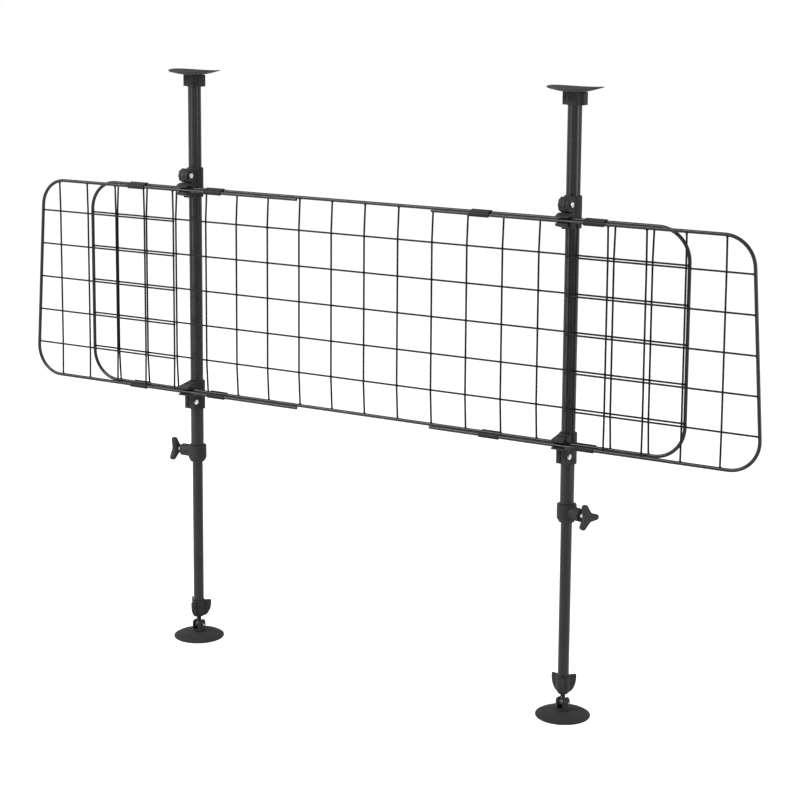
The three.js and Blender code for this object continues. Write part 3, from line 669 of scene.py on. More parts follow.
class MakeWireMeshes(bpy.types.Operator):
    """Make the thin welded wires of the centre panel and the two wings"""
    bl_idname = "dog_guard.wire_meshes"
    bl_label = "Wire meshes"
    bl_options = {"REGISTER", "UNDO"}

    centre_count = 17
    wing_count = 5
    wing_first = {"left": 0.5986, "right": 0.5926}
    wing_pitch = {"left": 0.059, "right": 0.0602}
    wing_set_back = 0.0012
    bend_share = 0.939
    facet_share = math.cos(math.pi / 6)
    sunk_share = 0.25
    weld_shares = (1, 0.7, 1.1)

    # An upright swells towards its welded ends, and bends near the first and last level wires
    swell_shares = (1.75, 1.45, 1.15, 1.0)
    swell_step, swell_sunk = 0.0006, 0.0004
    joggle_shares = ((0.9, 0.9), (0.96, 0.972), (1.0, 1.0))
    straight = 0.004

    # A level wire's ends reach into the frame
    end_swell_share = 1.5
    end_swell, end_overlap = 0.0008, 0.0006

    def execute(self, context):
        sizes = context.scene.dog_guard_panels
        self.centre(sizes)
        for hand, side in HANDS.items():
            self.wing(sizes, hand, side)
        return {"FINISHED"}

    def centre(self, sizes):
        low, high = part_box("centre_mesh")
        mesh_y = low.y + sizes.upright_diameter / 2 * self.facet_share
        middle = self.centre_count // 2
        uprights = [((i - middle) * sizes.upright_pitch, 0.0) for i in range(self.centre_count)]
        reach = sizes.centre_reach - sizes.rail_diameter / 2 + self.end_overlap
        body = self.woven(sizes, rails_of("centre_frame"), mesh_y, 1, uprights, lambda z: (-reach, reach))
        make("centre_mesh", body, "wire_paint", "centre_panel", "mesh_paint")

    def wing(self, sizes, hand, side):
        rails = rails_of(f"{hand}_wing_frame")
        y, bottom, top = rails
        places = [self.wing_first[hand] - i * self.wing_pitch[hand] for i in range(self.wing_count)]
        corner = sizes.wing_corner
        bend_start = sizes.wing_reach - sizes.wing_slant - corner * self.bend_share
        uprights = []
        for place in places:
            past = max(0.0, place - bend_start)
            uprights.append((side * place, corner - math.sqrt(corner ** 2 - past ** 2)))
        inner = places[-1] - sizes.level_diameter

        def ends_at(z):
            frame_at = sizes.wing_reach - sizes.wing_slant * (z - bottom) / (top - bottom)
            outer = frame_at - sizes.rail_diameter / 2 + self.end_overlap
            return sorted((side * inner, side * outer))

        body = self.woven(sizes, rails, y + self.wing_set_back, -1, uprights, ends_at)
        make(f"{hand}_wing_mesh", body, "wire_paint", f"{hand}_wing", "mesh_paint")

    def woven(self, sizes, rails, mesh_y, level_side, uprights, ends_at):
        """A mesh of uprights, each a place and its shortfall at the top, and of level wires."""
        bottom = rails[1]
        apart = (sizes.upright_diameter + sizes.level_diameter) / 2 - self.sunk_share * sizes.weld_size
        level_y = mesh_y + level_side * apart
        weld_size = [share * sizes.weld_size for share in self.weld_shares]
        body = bmesh.new()
        for x, fall in uprights:
            self.upright(body, sizes, x, rails, mesh_y, fall)
        for z in level_heights(bottom):
            self.level(body, sizes, *ends_at(z), level_y, z)
            for x, fall in uprights:
                place = Matrix.Translation((x, (mesh_y + level_y) / 2, z))
                matrix = place @ Matrix.Diagonal((*weld_size, 1))
                bmesh.ops.create_icosphere(body, subdivisions=2, radius=1, matrix=matrix)
        return body

    def upright(self, body, sizes, x, rails, mesh_y, fall):
        """One upright wire, welded to both rails and joggled into the mesh's plane."""
        rail_y, bottom, top = rails
        thin = sizes.upright_diameter / 2
        reach = sizes.rail_diameter / 2
        levels = level_heights(bottom)
        ends = ((bottom + reach, 1, levels[0] - sizes.level_diameter),
                (top - fall - reach, -1, levels[-1] + sizes.level_diameter))
        path, radii = [], []
        for rail_z, way, step_z in ends:
            half = []
            for k, share in enumerate(self.swell_shares):
                z = rail_z + way * (k * self.swell_step - self.swell_sunk)
                slope = max(0.0, way * (z - rail_z) / abs(step_z - rail_z))
                half.append(((x, rail_y + (mesh_y - rail_y) * slope, z), thin * share))
            for along, across in self.joggle_shares:
                y = rail_y + (mesh_y - rail_y) * across
                half.append(((x, y, rail_z + (step_z - rail_z) * along), thin))
            half.append(((x, mesh_y, step_z + way * self.straight), thin))
            half = half if way > 0 else half[::-1]
            path += [point for point, radius in half]
            radii += [radius for point, radius in half]
        add_wire(body, path, radii, (1, 0, 0), sides=12)

    def level(self, body, sizes, left, right, y, z):
        """One level wire, swollen at its welded ends."""
        radius = sizes.level_diameter / 2
        swollen = radius * self.end_swell_share
        path = [(x, y, z) for x in (left, left + self.end_swell, right - self.end_swell, right)]
        add_wire(body, path, [swollen, radius, radius, swollen], (0, 1, 0), sides=10)


class MakeRailClips(bpy.types.Operator):
    """Make the eight bent clips that hold a wing's rail beside the centre's rail"""
    bl_idname = "dog_guard.rail_clips"
    bl_label = "Rail clips"
    bl_options = {"REGISTER", "UNDO"}

    turned_in = math.radians(70)
    hook_steps = 12
    edge_share = 0.3
    tip_share = 0.5
    tip_reach_share = 0.25

    def execute(self, context):
        sizes = context.scene.dog_guard_panels
        for hand in HANDS:
            for place in ("outer", "inner"):
                for level in LEVELS:
                    self.clip(sizes, hand, f"{hand}_{place}_{level}_clip", level == "top")
        return {"FINISHED"}

    def clip(self, sizes, hand, node, is_top):
        """A band wrapped round both rails on their far side, with its ends turned in behind them."""
        low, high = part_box(node)
        wall = sizes.clip_wall
        rails = [rails_of(f"{hand}_wing_frame"), rails_of("centre_frame")]
        front, back = [Vector((rail[0], rail[2] if is_top else rail[1])) for rail in rails]
        shut = 1 if is_top else -1
        reach = sizes.rail_diameter / 2 + sizes.running_gap + wall / 2
        over = math.atan2((back - front).y, (back - front).x) + shut * QUARTER
        front_end = shut * (math.pi + self.turned_in)
        back_end = -shut * self.turned_in
        middle = [*arc(front, reach, front_end, over, self.hook_steps),
                  *arc(back, reach, over, back_end, self.hook_steps)]
        levels = eased(low.x, high.x, wall * self.edge_share, 2)
        body = drawn(self.band([Vector(point) for point in middle], wall), levels, "X")
        make(node, body, "clip_plastic", "centre_panel")

    def band(self, middle, wall):
        """The outline of a band of even wall round a middle line, with rounded ends."""
        normals = []
        for i in range(len(middle)):
            ahead = (middle[min(i + 1, len(middle) - 1)] - middle[max(i - 1, 0)]).normalized()
            normals.append(Vector((-ahead.y, ahead.x)) * wall / 2)
        one = [point + normal for point, normal in zip(middle, normals)]
        other = [point - normal for point, normal in zip(middle, normals)]
        return one + self.tip(middle[-2:], normals[-1], wall) + other[::-1] + self.tip(
            middle[1::-1], -normals[0], wall)

    def tip(self, last_two, normal, wall):
        """Two points past a band's end."""
        before, end = last_two
        centre = end + (end - before).normalized() * wall * self.tip_reach_share
        return [centre + normal * self.tip_share, centre - normal * self.tip_share]


class MakeTopPads(bpy.types.Operator):
    """Make the shallow rubber cups that press on a car's roof lining"""
    bl_idname = "dog_guard.top_pads"
    bl_label = "Top pads"
    bl_options = {"REGISTER", "UNDO"}

    flat_share = 0.36
    under_shares = ((0, 0), (flat_share, 0), (0.66, 0.33))
    over_shares = ((0.66, 0.62), (0.3, 0.3), (0, 0.3))
    lip_shares = (0.86, 0.90, 0.95)
    lip_under = 0.0004
    lip_over = 0.0006

    def execute(self, context):
        for hand in HANDS:
            node = f"{hand}_top_pad"
            low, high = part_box(node)
            body = self.cup(high.x - low.x, low.z, high.z, context.scene.dog_guard_posts.rim_sag)
            body.transform(Matrix.Translation((middle_of(node).x, 0, 0)))
            make(node, body, "pad_rubber", f"{hand}_upper_post")
        return {"FINISHED"}

    def cup(self, diameter, bottom, top, sag):
        rim = diameter / 2
        height = top - bottom
        bent, edge_low, edge_high = [share * height for share in self.lip_shares]
        under = [(a * rim, b * height) for a, b in self.under_shares]
        over = [(a * rim, b * height) for a, b in self.over_shares]
        body = turned([
            *smooth_curve([*under, (rim - self.lip_under, bent)]), (rim, edge_low), (rim, edge_high),
            *smooth_curve([(rim - self.lip_over, height), *over]),
        ], PAD_SIDES)
        for vert in body.verts:
            out = math.hypot(vert.co.x, vert.co.y)
            sway = 1 - (vert.co.x / out) ** 2 if out else 1
            lowered = max(0.0, out / rim - self.flat_share) / (1 - self.flat_share)
            vert.co.z += bottom - sag * sway * lowered
        return body


class MakeTopHubs(bpy.types.Operator):
    """Make the moulded ribbed hubs on the upper tubes' ends"""
    bl_idname = "dog_guard.top_hubs"
    bl_label = "Top hubs"
    bl_options = {"REGISTER", "UNDO"}

    barrel_radius = 0.0133
    rib_half = 0.007

    def execute(self, context):
        sizes = context.scene.dog_guard_posts
        for hand in HANDS:
            low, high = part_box(f"{hand}_top_hub")
            tube_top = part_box(f"{hand}_upper_tube")[1].z
            body = self.hub(sizes, low.z, high.z, (high.x - low.x) / 2, high.y, tube_top)
            make_on_post(hand, "top_hub", body, "moulded_plastic", "upper_post")
        return {"FINISHED"}

    def hub(self, sizes, bottom, top, wide, deep, tube_top):
        radius, half, edge = self.barrel_radius, self.rib_half, sizes.edge_round
        barrel = lathe([(radius, bottom, edge), (radius, top, edge)])
        side_ribs = block((-wide, -half, bottom), (wide, half, top), edge)
        front_ribs = block((-half, -deep, bottom), (half, deep, top), edge)
        socket = upright(UPPER_TUBE_BORE, bottom - OVERRUN, tube_top + sizes.running_gap)
        return cut(joined(barrel, [side_ribs, front_ribs]), [socket])


class MakeTubes(bpy.types.Operator):
    """Make the two telescopic tubes of each post and the bush that guides them"""
    bl_idname = "dog_guard.tubes"
    bl_label = "Tubes"
    bl_options = {"REGISTER", "UNDO"}

    edge_share = 0.3
    tube_sides = 80
    shoe_way_reach = 0.02
    bush_step = 0.00205
    bush_edge = 0.0004
    flange_height = 0.004

    def execute(self, context):
        wall = context.scene.dog_guard_posts.tube_wall
        for hand, side in HANDS.items():
            self.upper(wall, context.scene.dog_guard_posts.running_gap, hand, side)
            low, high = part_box(f"{hand}_lower_tube")
            body = self.tube((high.y - low.y) / 2, wall, low.z, high.z)
            make_on_post(hand, "lower_tube", body, "tube_paint", "lower_post")
            self.bush(hand)
        return {"FINISHED"}

    def tube(self, radius, wall, bottom, top):
        bore, edge = radius - wall, wall * self.edge_share
        return turned(softened([
            (bore, bottom, edge), (radius, bottom, edge), (radius, top, edge), (bore, top, edge),
        ], 2), self.tube_sides)

    def upper(self, wall, gap, hand, side):
        low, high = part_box("left_upper_tube")
        shoe_low, shoe_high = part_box("left_clamp_shoe")
        shell = self.tube((high.y - low.y) / 2, wall, low.z, high.z)
        way_radius = (shoe_high.z - shoe_low.z) / 2 + gap
        way = crosswise(way_radius, 0, side * self.shoe_way_reach, 0, (shoe_low.z + shoe_high.z) / 2)
        make_on_post(hand, "upper_tube", cut(shell, [way]), "tube_paint", "upper_post", boss_turn(side))

    def bush(self, hand):
        low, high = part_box(f"{hand}_tube_bush")
        flange = (high.x - low.x) / 2
        plug, edge = flange - self.bush_step, self.bush_edge
        shoulder = high.z - self.flange_height
        body = lathe([
            (plug, low.z, edge), (plug, shoulder), (flange, shoulder, edge), (flange, high.z, edge),
        ], 3)
        make_on_post(hand, "tube_bush", body, "moulded_plastic", "lower_post")


class MakeHeightCollars(bpy.types.Operator):
    """Make the collars at the upper tubes' ends, with the bosses of their clamp screws"""
    bl_idname = "dog_guard.height_collars"
    bl_label = "Height collars"
    bl_options = {"REGISTER", "UNDO"}

    foot_radius, foot_edge = 0.012, 0.0009
    radius, top_edge = 0.015, 0.0012
    taper_height, taper_edge = 0.006, 0.004
    boss_radius, boss_reach, boss_edge = 0.01, 0.031, 0.0014
    seat_height = 0.0037
    way_height = 0.005
    screw_way_radius, screw_way_reach = 0.004, 0.033

    def execute(self, context):
        axis = middle_of("left_clamp_shoe").z
        for hand, side in HANDS.items():
            low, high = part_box(f"{hand}_height_collar")
            body = self.collar(side, low.z, high.z, axis)
            make_on_post(hand, "height_collar", body, "moulded_plastic", "upper_post", boss_turn(side))
        return {"FINISHED"}

    def collar(self, side, bottom, top, axis):
        barrel = lathe([
            (self.foot_radius, bottom, self.foot_edge),
            (self.radius, bottom + self.taper_height, self.taper_edge), (self.radius, top, self.top_edge),
        ], 6)
        boss = crosswise(self.boss_radius, *sorted((0, self.boss_reach * side)), 0, axis, self.boss_edge)
        seat = upright(UPPER_TUBE_BORE, bottom + self.seat_height, top + OVERRUN)
        way = upright(LOWER_TUBE_BORE, bottom - OVERRUN, bottom + self.way_height)
        screw_ends = sorted((0, self.screw_way_reach * side))
        screw_way = crosswise(self.screw_way_radius, *screw_ends, 0, axis)
        return cut(joined(barrel, [boss]), [seat, way, screw_way])


class MakeClampScrews(bpy.types.Operator):
    """Make the clamp shoes, the clamp screws and their three-armed knobs"""
    bl_idname = "dog_guard.clamp_screws"
    bl_label = "Clamp screws and knobs"
    bl_options = {"REGISTER", "UNDO"}

    shoe_radius, shoe_edge = 0.0037, 0.0003
    shoe_ends = (0.0089, 0.0119)
    screw_radius = 0.0035
    screw_ends = (0.0122, 0.044)
    first_arm = {"left": math.radians(-10), "right": math.radians(-8)}
    arm_reach, arm_radius = 0.0215, 0.0045
    waist = 0.0085
    valley_shares = ((0.34, 1.16), (0.5, 1.0), (0.66, 1.16))
    knob_near, knob_far = 0.037, 0.047
    near_levels = ((0, 0.0032), (0.0022, 0.0009), (0.0036, 0.0002), (0.005, 0.0))
    far_levels = ((0.0016, 0.0), (0.0009, 0.0003), (0.0003, 0.0008), (0, 0.0016))
    knob_bore = screw_radius + FIT
    bore_ends = (0.035, 0.0443)

    def execute(self, context):
        sizes = context.scene.dog_guard_posts
        axis = middle_of("left_clamp_shoe").z
        for hand, side in HANDS.items():
            turn = boss_turn(side)
            shoe = crosswise(self.shoe_radius, *self.mirrored(side, self.shoe_ends), 0, axis, self.shoe_edge)
            make_on_post(hand, "clamp_shoe", shoe, "black_steel", "shoe", turn)
            screw = threaded(self.screw_radius, sizes.thread_depth, sizes.thread_pitch, *self.screw_ends)
            screw.transform(Matrix.Translation((0, 0, axis)) @ Matrix.Rotation(side * QUARTER, 4, "Y"))
            make_on_post(hand, "clamp_screw", screw, "bright_steel", "clamp", turn)
            knob = self.knob(side, axis, self.first_arm[hand])
            make_on_post(hand, "clamp_knob", knob, "moulded_plastic", "clamp", turn)
        return {"FINISHED"}

    def mirrored(self, side, ends):
        return sorted(side * end for end in ends)

    def knob(self, side, axis, turn):
        """Three rounded arms, flat outside and tapered towards the boss."""
        tip = self.arm_reach - self.arm_radius
        outline = []
        for i in range(3):
            arm = turn + i * math.tau / 3
            centre = (tip * math.cos(arm), axis + tip * math.sin(arm))
            outline += arc(centre, self.arm_radius, arm - QUARTER, arm + QUARTER, 10)
            for share, depth in self.valley_shares:
                outline += arc((0, axis), self.waist * depth, arm + share * math.tau / 3, 0, 1)[:1]
        levels = [(self.knob_near + depth, inset) for depth, inset in self.near_levels]
        levels += [(self.knob_far - depth, inset) for depth, inset in self.far_levels]
        body = drawn(outline, [(side * place, inset) for place, inset in levels], "X")
        return cut(body, [crosswise(self.knob_bore, *self.mirrored(side, self.bore_ends), 0, axis)])


class MakeFootNuts(bpy.types.Operator):
    """Make the three-winged nuts that jack the feet out"""
    bl_idname = "dog_guard.foot_nuts"
    bl_label = "Foot nuts"
    bl_options = {"REGISTER", "UNDO"}

    foot_radius, foot_edge = 0.0078, 0.0010
    radius, radius_edge, top_edge = 0.0108, 0.003, 0.0008
    flare_share = 0.22
    wing_tips = ((0.021, 0), (0.0207, 0.32), (0.0186, 0.62), (0.0140, 0.88), (0.0085, 1))
    wing_corner = 0.0012
    wing_half, wing_edge = 0.0025, 0.0009

    def execute(self, context):
        sizes = context.scene.dog_guard_posts
        for hand, side in HANDS.items():
            low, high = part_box(f"{hand}_foot_wing_nut")
            turn = sizes.right_nut_turn if side > 0 else sizes.left_nut_turn
            body = self.nut(sizes, low.z, high.z, turn)
            make_on_post(hand, "foot_wing_nut", body, "moulded_plastic", "nut")
        return {"FINISHED"}

    def nut(self, sizes, bottom, top, turn):
        height = top - bottom
        barrel = lathe([
            (self.foot_radius, bottom, self.foot_edge),
            (self.radius, bottom + self.flare_share * height, self.radius_edge),
            (self.radius, top, self.top_edge),
        ], 5)
        edge = smooth_curve([(reach, top - share * height) for reach, share in self.wing_tips], 5)
        outline = [(0, top), (*edge[0], self.wing_corner), *edge[1:], (0, bottom)]
        wings = []
        for i in range(3):
            levels = eased(-self.wing_half, self.wing_half, self.wing_edge, 3)
            wing = drawn(softened(outline, 3), levels, "X")
            wing.transform(Matrix.Rotation(turn - QUARTER + i * math.tau / 3, 4, "Z"))
            wings.append(wing)
        tube_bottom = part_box("left_lower_tube")[0].z
        socket = upright(LOWER_TUBE_BORE, tube_bottom - sizes.running_gap, top + OVERRUN)
        bore = upright(STUD_BORE, bottom - OVERRUN, top, 40)
        return cut(joined(barrel, wings), [socket, bore])


class MakeFootStuds(bpy.types.Operator):
    """Make the plug in each lower tube's end, the foot stud, its pin and the forked hub"""
    bl_idname = "dog_guard.foot_studs"
    bl_label = "Foot studs, pins and forks"
    bl_options = {"REGISTER", "UNDO"}

    plug_radius = 0.0071
    plug_edge, plug_top_edge = 0.0003, 0.0005
    pin_edge = 0.0004
    stem_edge, stem_top_edge = 0.0012, 0.0004
    stem_top, thread_bottom = 0.0072, 0.0068
    eye_radius, eye_half, eye_edge = 0.0070, 0.0037, 0.0005
    eye_way_half = 0.01
    fork_radius, fork_edge = 0.011, 0.0009
    shoulder = ((fork_radius, 0.0055), (0.0098, 0.0019), (0.0055, 0))
    slot_half, slot_floor = eye_half + 2 * FIT, 0.0035
    fork_way_half = 0.013

    def execute(self, context):
        sizes = context.scene.dog_guard_posts
        for hand in HANDS:
            self.plug(hand)
            pin_low, pin_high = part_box(f"{hand}_foot_pin")
            axis = (pin_low.z + pin_high.z) / 2
            half = (pin_high.x - pin_low.x) / 2
            pin = crosswise(PIN_RADIUS, -half, half, 0, axis, self.pin_edge)
            make_on_post(hand, "foot_pin", pin, "bright_steel", "foot")
            self.stud(sizes, hand, axis)
            self.fork(hand, axis)
        return {"FINISHED"}

    def plug(self, hand):
        low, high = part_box(f"{hand}_foot_insert")
        edge = self.plug_edge
        plug = turned(softened([
            (STUD_BORE, low.z, edge), (self.plug_radius, low.z, edge),
            (self.plug_radius, high.z, self.plug_top_edge), (STUD_BORE, high.z, edge),
        ], 2), 48)
        make_on_post(hand, "foot_insert", plug, "moulded_plastic", "lower_post")

    def stud(self, sizes, hand, axis):
        low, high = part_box(f"{hand}_foot_stud")
        stem_top = axis + self.stem_top
        stem = lathe([
            (STUD_RADIUS, low.z, self.stem_edge), (STUD_RADIUS, stem_top, self.stem_top_edge),
        ], sides=48)
        eye = crosswise(self.eye_radius, -self.eye_half, self.eye_half, 0, axis, self.eye_edge)
        way = crosswise(PIN_BORE, -self.eye_way_half, self.eye_way_half, 0, axis)
        thread_low = axis + self.thread_bottom
        shank = threaded(STUD_RADIUS, sizes.thread_depth, sizes.thread_pitch, thread_low, high.z)
        body = joined(cut(joined(stem, [eye]), [way]), [shank])
        make_on_post(hand, "foot_stud", body, "black_steel", "stud")

    def fork(self, hand, axis):
        low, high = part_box(f"{hand}_foot_hub")
        radius, wide = self.fork_radius, self.fork_way_half
        shoulder = smooth_curve([(reach, high.z - depth) for reach, depth in self.shoulder])
        foot = softened([(0, low.z), (radius, low.z, self.fork_edge), (radius, high.z)], 3)[1:-1]
        slot = plain_box((-self.slot_half, -wide, low.z + self.slot_floor),
                         (self.slot_half, wide, high.z + OVERRUN))
        pin_way = crosswise(PIN_BORE, -wide, wide, 0, axis)
        body = cut(turned([(0, low.z), *foot, *shoulder, (0, high.z)]), [slot, pin_way])
        make_on_post(hand, "foot_hub", body, "moulded_plastic", "foot")


class MakeFootPads(bpy.types.Operator):
    """Make the low rubber domes that the guard stands on"""
    bl_idname = "dog_guard.foot_pads"
    bl_label = "Foot pads"
    bl_options = {"REGISTER", "UNDO"}

    dome_shares = ((1, 0.18), (0.86, 0.52), (0.62, 0.8), (0.34, 1), (0.2, 1))
    chamfer_width, chamfer_height = 0.0004, 0.0006
    low_edge, high_edge = 0.0003, 0.0004

    def execute(self, context):
        for hand in HANDS:
            node = f"{hand}_foot_pad"
            low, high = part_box(node)
            rim = (high.x - low.x) / 2
            height = high.z - low.z
            dome = [(a * rim, b * height) for a, b in self.dome_shares]
            edge = softened([
                (0, 0), (rim - self.chamfer_width, 0, self.low_edge),
                (rim, self.chamfer_height, self.high_edge), dome[0],
            ], 3)
            body = turned([*edge[:-1], *smooth_curve(dome, 7), (0, height)], PAD_SIDES)
            body.transform(Matrix.Translation((middle_of(node).x, 0, low.z)))
            make(node, body, "pad_rubber", f"{hand}_foot")
        return {"FINISHED"}


class Bracket:
    """Sizes and forms that the upper and the lower brackets share"""
    sleeve_radius, sleeve_edge = 0.01345, 0.0006
    jaw_left, jaw_right = -0.0105, 0.0095
    jaw_front, jaw_depth = -0.038, 0.0043
    jaw_edge, fixed_jaw_edge, jaw_heel_edge = 0.0006, 0.0008, 0.0016
    rail_room = 0.0083
    wedge_edge, wedge_back_edge, wedge_heel_edge = 0.0005, 0.0008, 0.002
    wedge_slope = 0.008
    block_front, block_left, block_right = -0.0218, -0.008, 0.009
    bolt_end, bolt_edge = 0.0108, 0.0004
    bolt_way_end = 0.011
    head_reach = 0.0045
    head_levels = ((0.0093, 0.0002), (0.0095, 0), (0.0118, 0), (0.0123, 0.0005))

    def fixed_jaw(self, face, end):
        """The jaw on the sleeve, from its face to the sleeve's end."""
        heel = face + math.copysign(self.jaw_depth, end - face)
        outline = softened([
            (0, face), (self.jaw_front, face, self.fixed_jaw_edge),
            (self.jaw_front, heel, self.jaw_heel_edge), (-UPPER_TUBE_BORE, end), (0, end),
        ])
        return drawn(outline, eased(self.jaw_left, self.jaw_right, self.fixed_jaw_edge, 3), "X")

    def wedge(self, low, high, face, back, nose):
        """The loose jaw, from its face to its back, with its nose's height."""
        outline = softened([
            (high.y, face, self.wedge_edge), (high.y, back, self.wedge_back_edge),
            (low.y + self.wedge_slope, back, self.wedge_heel_edge),
            (low.y, nose, self.wedge_back_edge), (low.y, face, self.wedge_edge),
        ])
        return drawn(outline, eased(self.jaw_left, self.jaw_right, self.jaw_edge, 3), "X")

    def bolt(self, radius, left, y, z):
        """A bolt along X whose hexagon head is on the right."""
        shank = crosswise(radius, left, self.bolt_end, y, z, self.bolt_edge)
        corners = arc((y, z), self.head_reach, 0, math.tau, 6)[:-1]
        return joined(shank, [drawn(corners, self.head_levels, "X")])


class MakeUpperBrackets(bpy.types.Operator, Bracket):
    """Make the upper brackets: sleeve with far jaw, wedge jaw, lobed knob and bolt"""
    bl_idname = "dog_guard.upper_brackets"
    bl_label = "Upper brackets"
    bl_options = {"REGISTER", "UNDO"}

    bolt_y, bolt_radius, bolt_left = -0.026, 0.003, -0.0087
    bolt_bore, bolt_way_start = bolt_radius + FIT, 0.002
    recess_radius, recess_ends = 0.0061, (0.0076, 0.0112)
    nose_height = 0.0028
    rim_radius, rim_height, rim_edge = 0.0125, 0.0014, 0.0004
    hair = 0.0001
    spine_rise, spine_edge = 0.0062, 0.0009
    cheek_back, cheek_front = -0.002, -0.0217
    cheek_drop, cheek_lead = 0.0029, 0.0102
    cheek_radius, cheek_start, cheek_sweep = 0.011, math.radians(67), math.radians(227)
    cheek_ends, cheek_edge = (0.0044, 0.00902), 0.0006
    lobes, lobe_height, lobe_points = 8, 0.00055, 96
    knob_radius, knob_ends, knob_edge = 0.01095, (-0.0075, 0.0041), 0.0012
    dish_radius, dish_ends, dish_edge = 0.0068, (-0.0085, -0.0066), 0.0006
    knob_way_ends = (-0.0095, 0.0061)

    def execute(self, context):
        for hand in HANDS:
            low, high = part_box(f"{hand}_upper_bracket_body")
            jaw_low, jaw_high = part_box(f"{hand}_upper_bracket_jaw")
            y, z = self.bolt_y, middle_of(f"{hand}_upper_bracket_knob").z
            body = self.body(low.z, high.z, jaw_low.z, y, z)
            make_on_post(hand, "upper_bracket_body", body, "moulded_plastic", "brackets")
            jaw = self.wedge(jaw_low, jaw_high, jaw_low.z, jaw_high.z, jaw_low.z + self.nose_height)
            make_on_post(hand, "upper_bracket_jaw", jaw, "moulded_plastic", "brackets")
            make_on_post(hand, "upper_bracket_knob", self.knob(y, z), "moulded_plastic", "bracket_knob")
            bolt = self.bolt(self.bolt_radius, self.bolt_left, y, z)
            make_on_post(hand, "upper_bracket_bolt", bolt, "bright_steel", "brackets")
        return {"FINISHED"}

    def body(self, bottom, top, jaw_z, y, z):
        radius, edge = self.sleeve_radius, self.sleeve_edge
        sleeve = lathe([
            (radius, bottom, edge), (radius, top - self.rim_height, edge),
            (self.rim_radius, top, self.rim_edge),
        ], 3)
        spine = block((self.block_left, self.block_front, bottom + self.hair),
                      (self.block_right, 0, jaw_z + self.spine_rise), self.spine_edge)
        jaw = self.fixed_jaw(jaw_z - self.rail_room, bottom)
        post = upright(UPPER_TUBE_BORE, bottom - OVERRUN, top + OVERRUN)
        way = crosswise(self.bolt_bore, self.bolt_way_start, self.bolt_way_end, y, z)
        recess = crosswise(self.recess_radius, *self.recess_ends, y, z)
        return cut(joined(sleeve, [spine, jaw, self.cheek(top, jaw_z, y, z)]), [post, way, recess])

    def cheek(self, top, jaw_z, y, z):
        """The round cheek that the bolt goes through."""
        bottom, first = jaw_z - self.cheek_drop, -self.cheek_start
        outline = [
            (self.cheek_back, bottom), (self.cheek_front, bottom), (self.cheek_front, z - self.cheek_lead),
            *arc((y, z), self.cheek_radius, first, first - self.cheek_sweep, 24),
            (self.cheek_back, top - self.hair),
        ]
        return drawn(outline, eased(*self.cheek_ends, self.cheek_edge, 3), "X")

    def knob(self, y, z):
        outline = []
        for i in range(self.lobe_points):
            turn = math.tau * i / self.lobe_points
            radius = self.knob_radius + self.lobe_height * math.cos(self.lobes * turn)
            outline.append((radius * math.cos(turn) + y, radius * math.sin(turn) + z))
        body = drawn(outline, eased(*self.knob_ends, self.knob_edge), "X")
        dish = crosswise(self.dish_radius, *self.dish_ends, y, z, self.dish_edge)
        return cut(body, [dish, crosswise(self.bolt_bore, *self.knob_way_ends, y, z)])


class MakeLowerBrackets(bpy.types.Operator, Bracket):
    """Make the lower brackets: sleeve with far jaw, jaw plate, side cheek and bolt"""
    bl_idname = "dog_guard.lower_brackets"
    bl_label = "Lower brackets"
    bl_options = {"REGISTER", "UNDO"}

    bolt_y, bolt_radius, bolt_left = -0.0172, 0.0025, -0.0107
    bolt_bore, bolt_way_start = bolt_radius + FIT, -0.0095
    nose_height = 0.0017
    spine_left, spine_edge = -0.0015, 0.0008
    neck_right, neck_rise, neck_edge = 0.0005, 0.0029, 0.0005
    cheek_left, cheek_right, cheek_back, cheek_edge = -0.0095, -0.0024, -0.00845, 0.0009
    cheek_room = Bracket.sleeve_radius + FIT
    cheek_way_start = -0.0115

    def execute(self, context):
        for hand in HANDS:
            low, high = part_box(f"{hand}_lower_bracket_body")
            jaw_low, jaw_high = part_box(f"{hand}_lower_bracket_jaw")
            cheek_low, cheek_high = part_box(f"{hand}_lower_bracket_cheek")
            y, z = self.bolt_y, middle_of(f"{hand}_lower_bracket_bolt").z
            body = self.body(low.z, high.z, cheek_low.z, jaw_high.z, y, z)
            make_on_post(hand, "lower_bracket_body", body, "moulded_plastic", "brackets")
            jaw = self.wedge(jaw_low, jaw_high, jaw_high.z, jaw_low.z, jaw_low.z + self.nose_height)
            make_on_post(hand, "lower_bracket_jaw", jaw, "moulded_plastic", "brackets")
            cheek = self.cheek(cheek_low.z, cheek_high.z, y, z)
            make_on_post(hand, "lower_bracket_cheek", cheek, "moulded_plastic", "brackets")
            bolt = self.bolt(self.bolt_radius, self.bolt_left, y, z)
            make_on_post(hand, "lower_bracket_bolt", bolt, "bright_steel", "brackets")
        return {"FINISHED"}

    def body(self, bottom, top, spine_low, jaw_z, y, z):
        radius, edge = self.sleeve_radius, self.sleeve_edge
        sleeve = lathe([(radius, bottom, edge), (radius, top, edge)], 3)
        spine = block((self.spine_left, self.block_front, spine_low), (self.block_right, 0, top),
                      self.spine_edge)
        neck = block((self.block_left, self.block_front, jaw_z + self.neck_rise), (self.neck_right, 0, top),
                     self.neck_edge)
        jaw = self.fixed_jaw(jaw_z + self.rail_room, top)
        post = upright(UPPER_TUBE_BORE, bottom - OVERRUN, top + OVERRUN)
        way = crosswise(self.bolt_bore, self.bolt_way_start, self.bolt_way_end, y, z)
        return cut(joined(sleeve, [spine, neck, jaw]), [post, way])

    def cheek(self, bottom, top, y, z):
        body = block((self.cheek_left, self.block_front, bottom), (self.cheek_right, self.cheek_back, top),
                     self.cheek_edge)
        room = upright(self.cheek_room, bottom - OVERRUN, top + OVERRUN)
        return cut(body, [room, crosswise(self.bolt_bore, self.cheek_way_start, 0, y, z)])


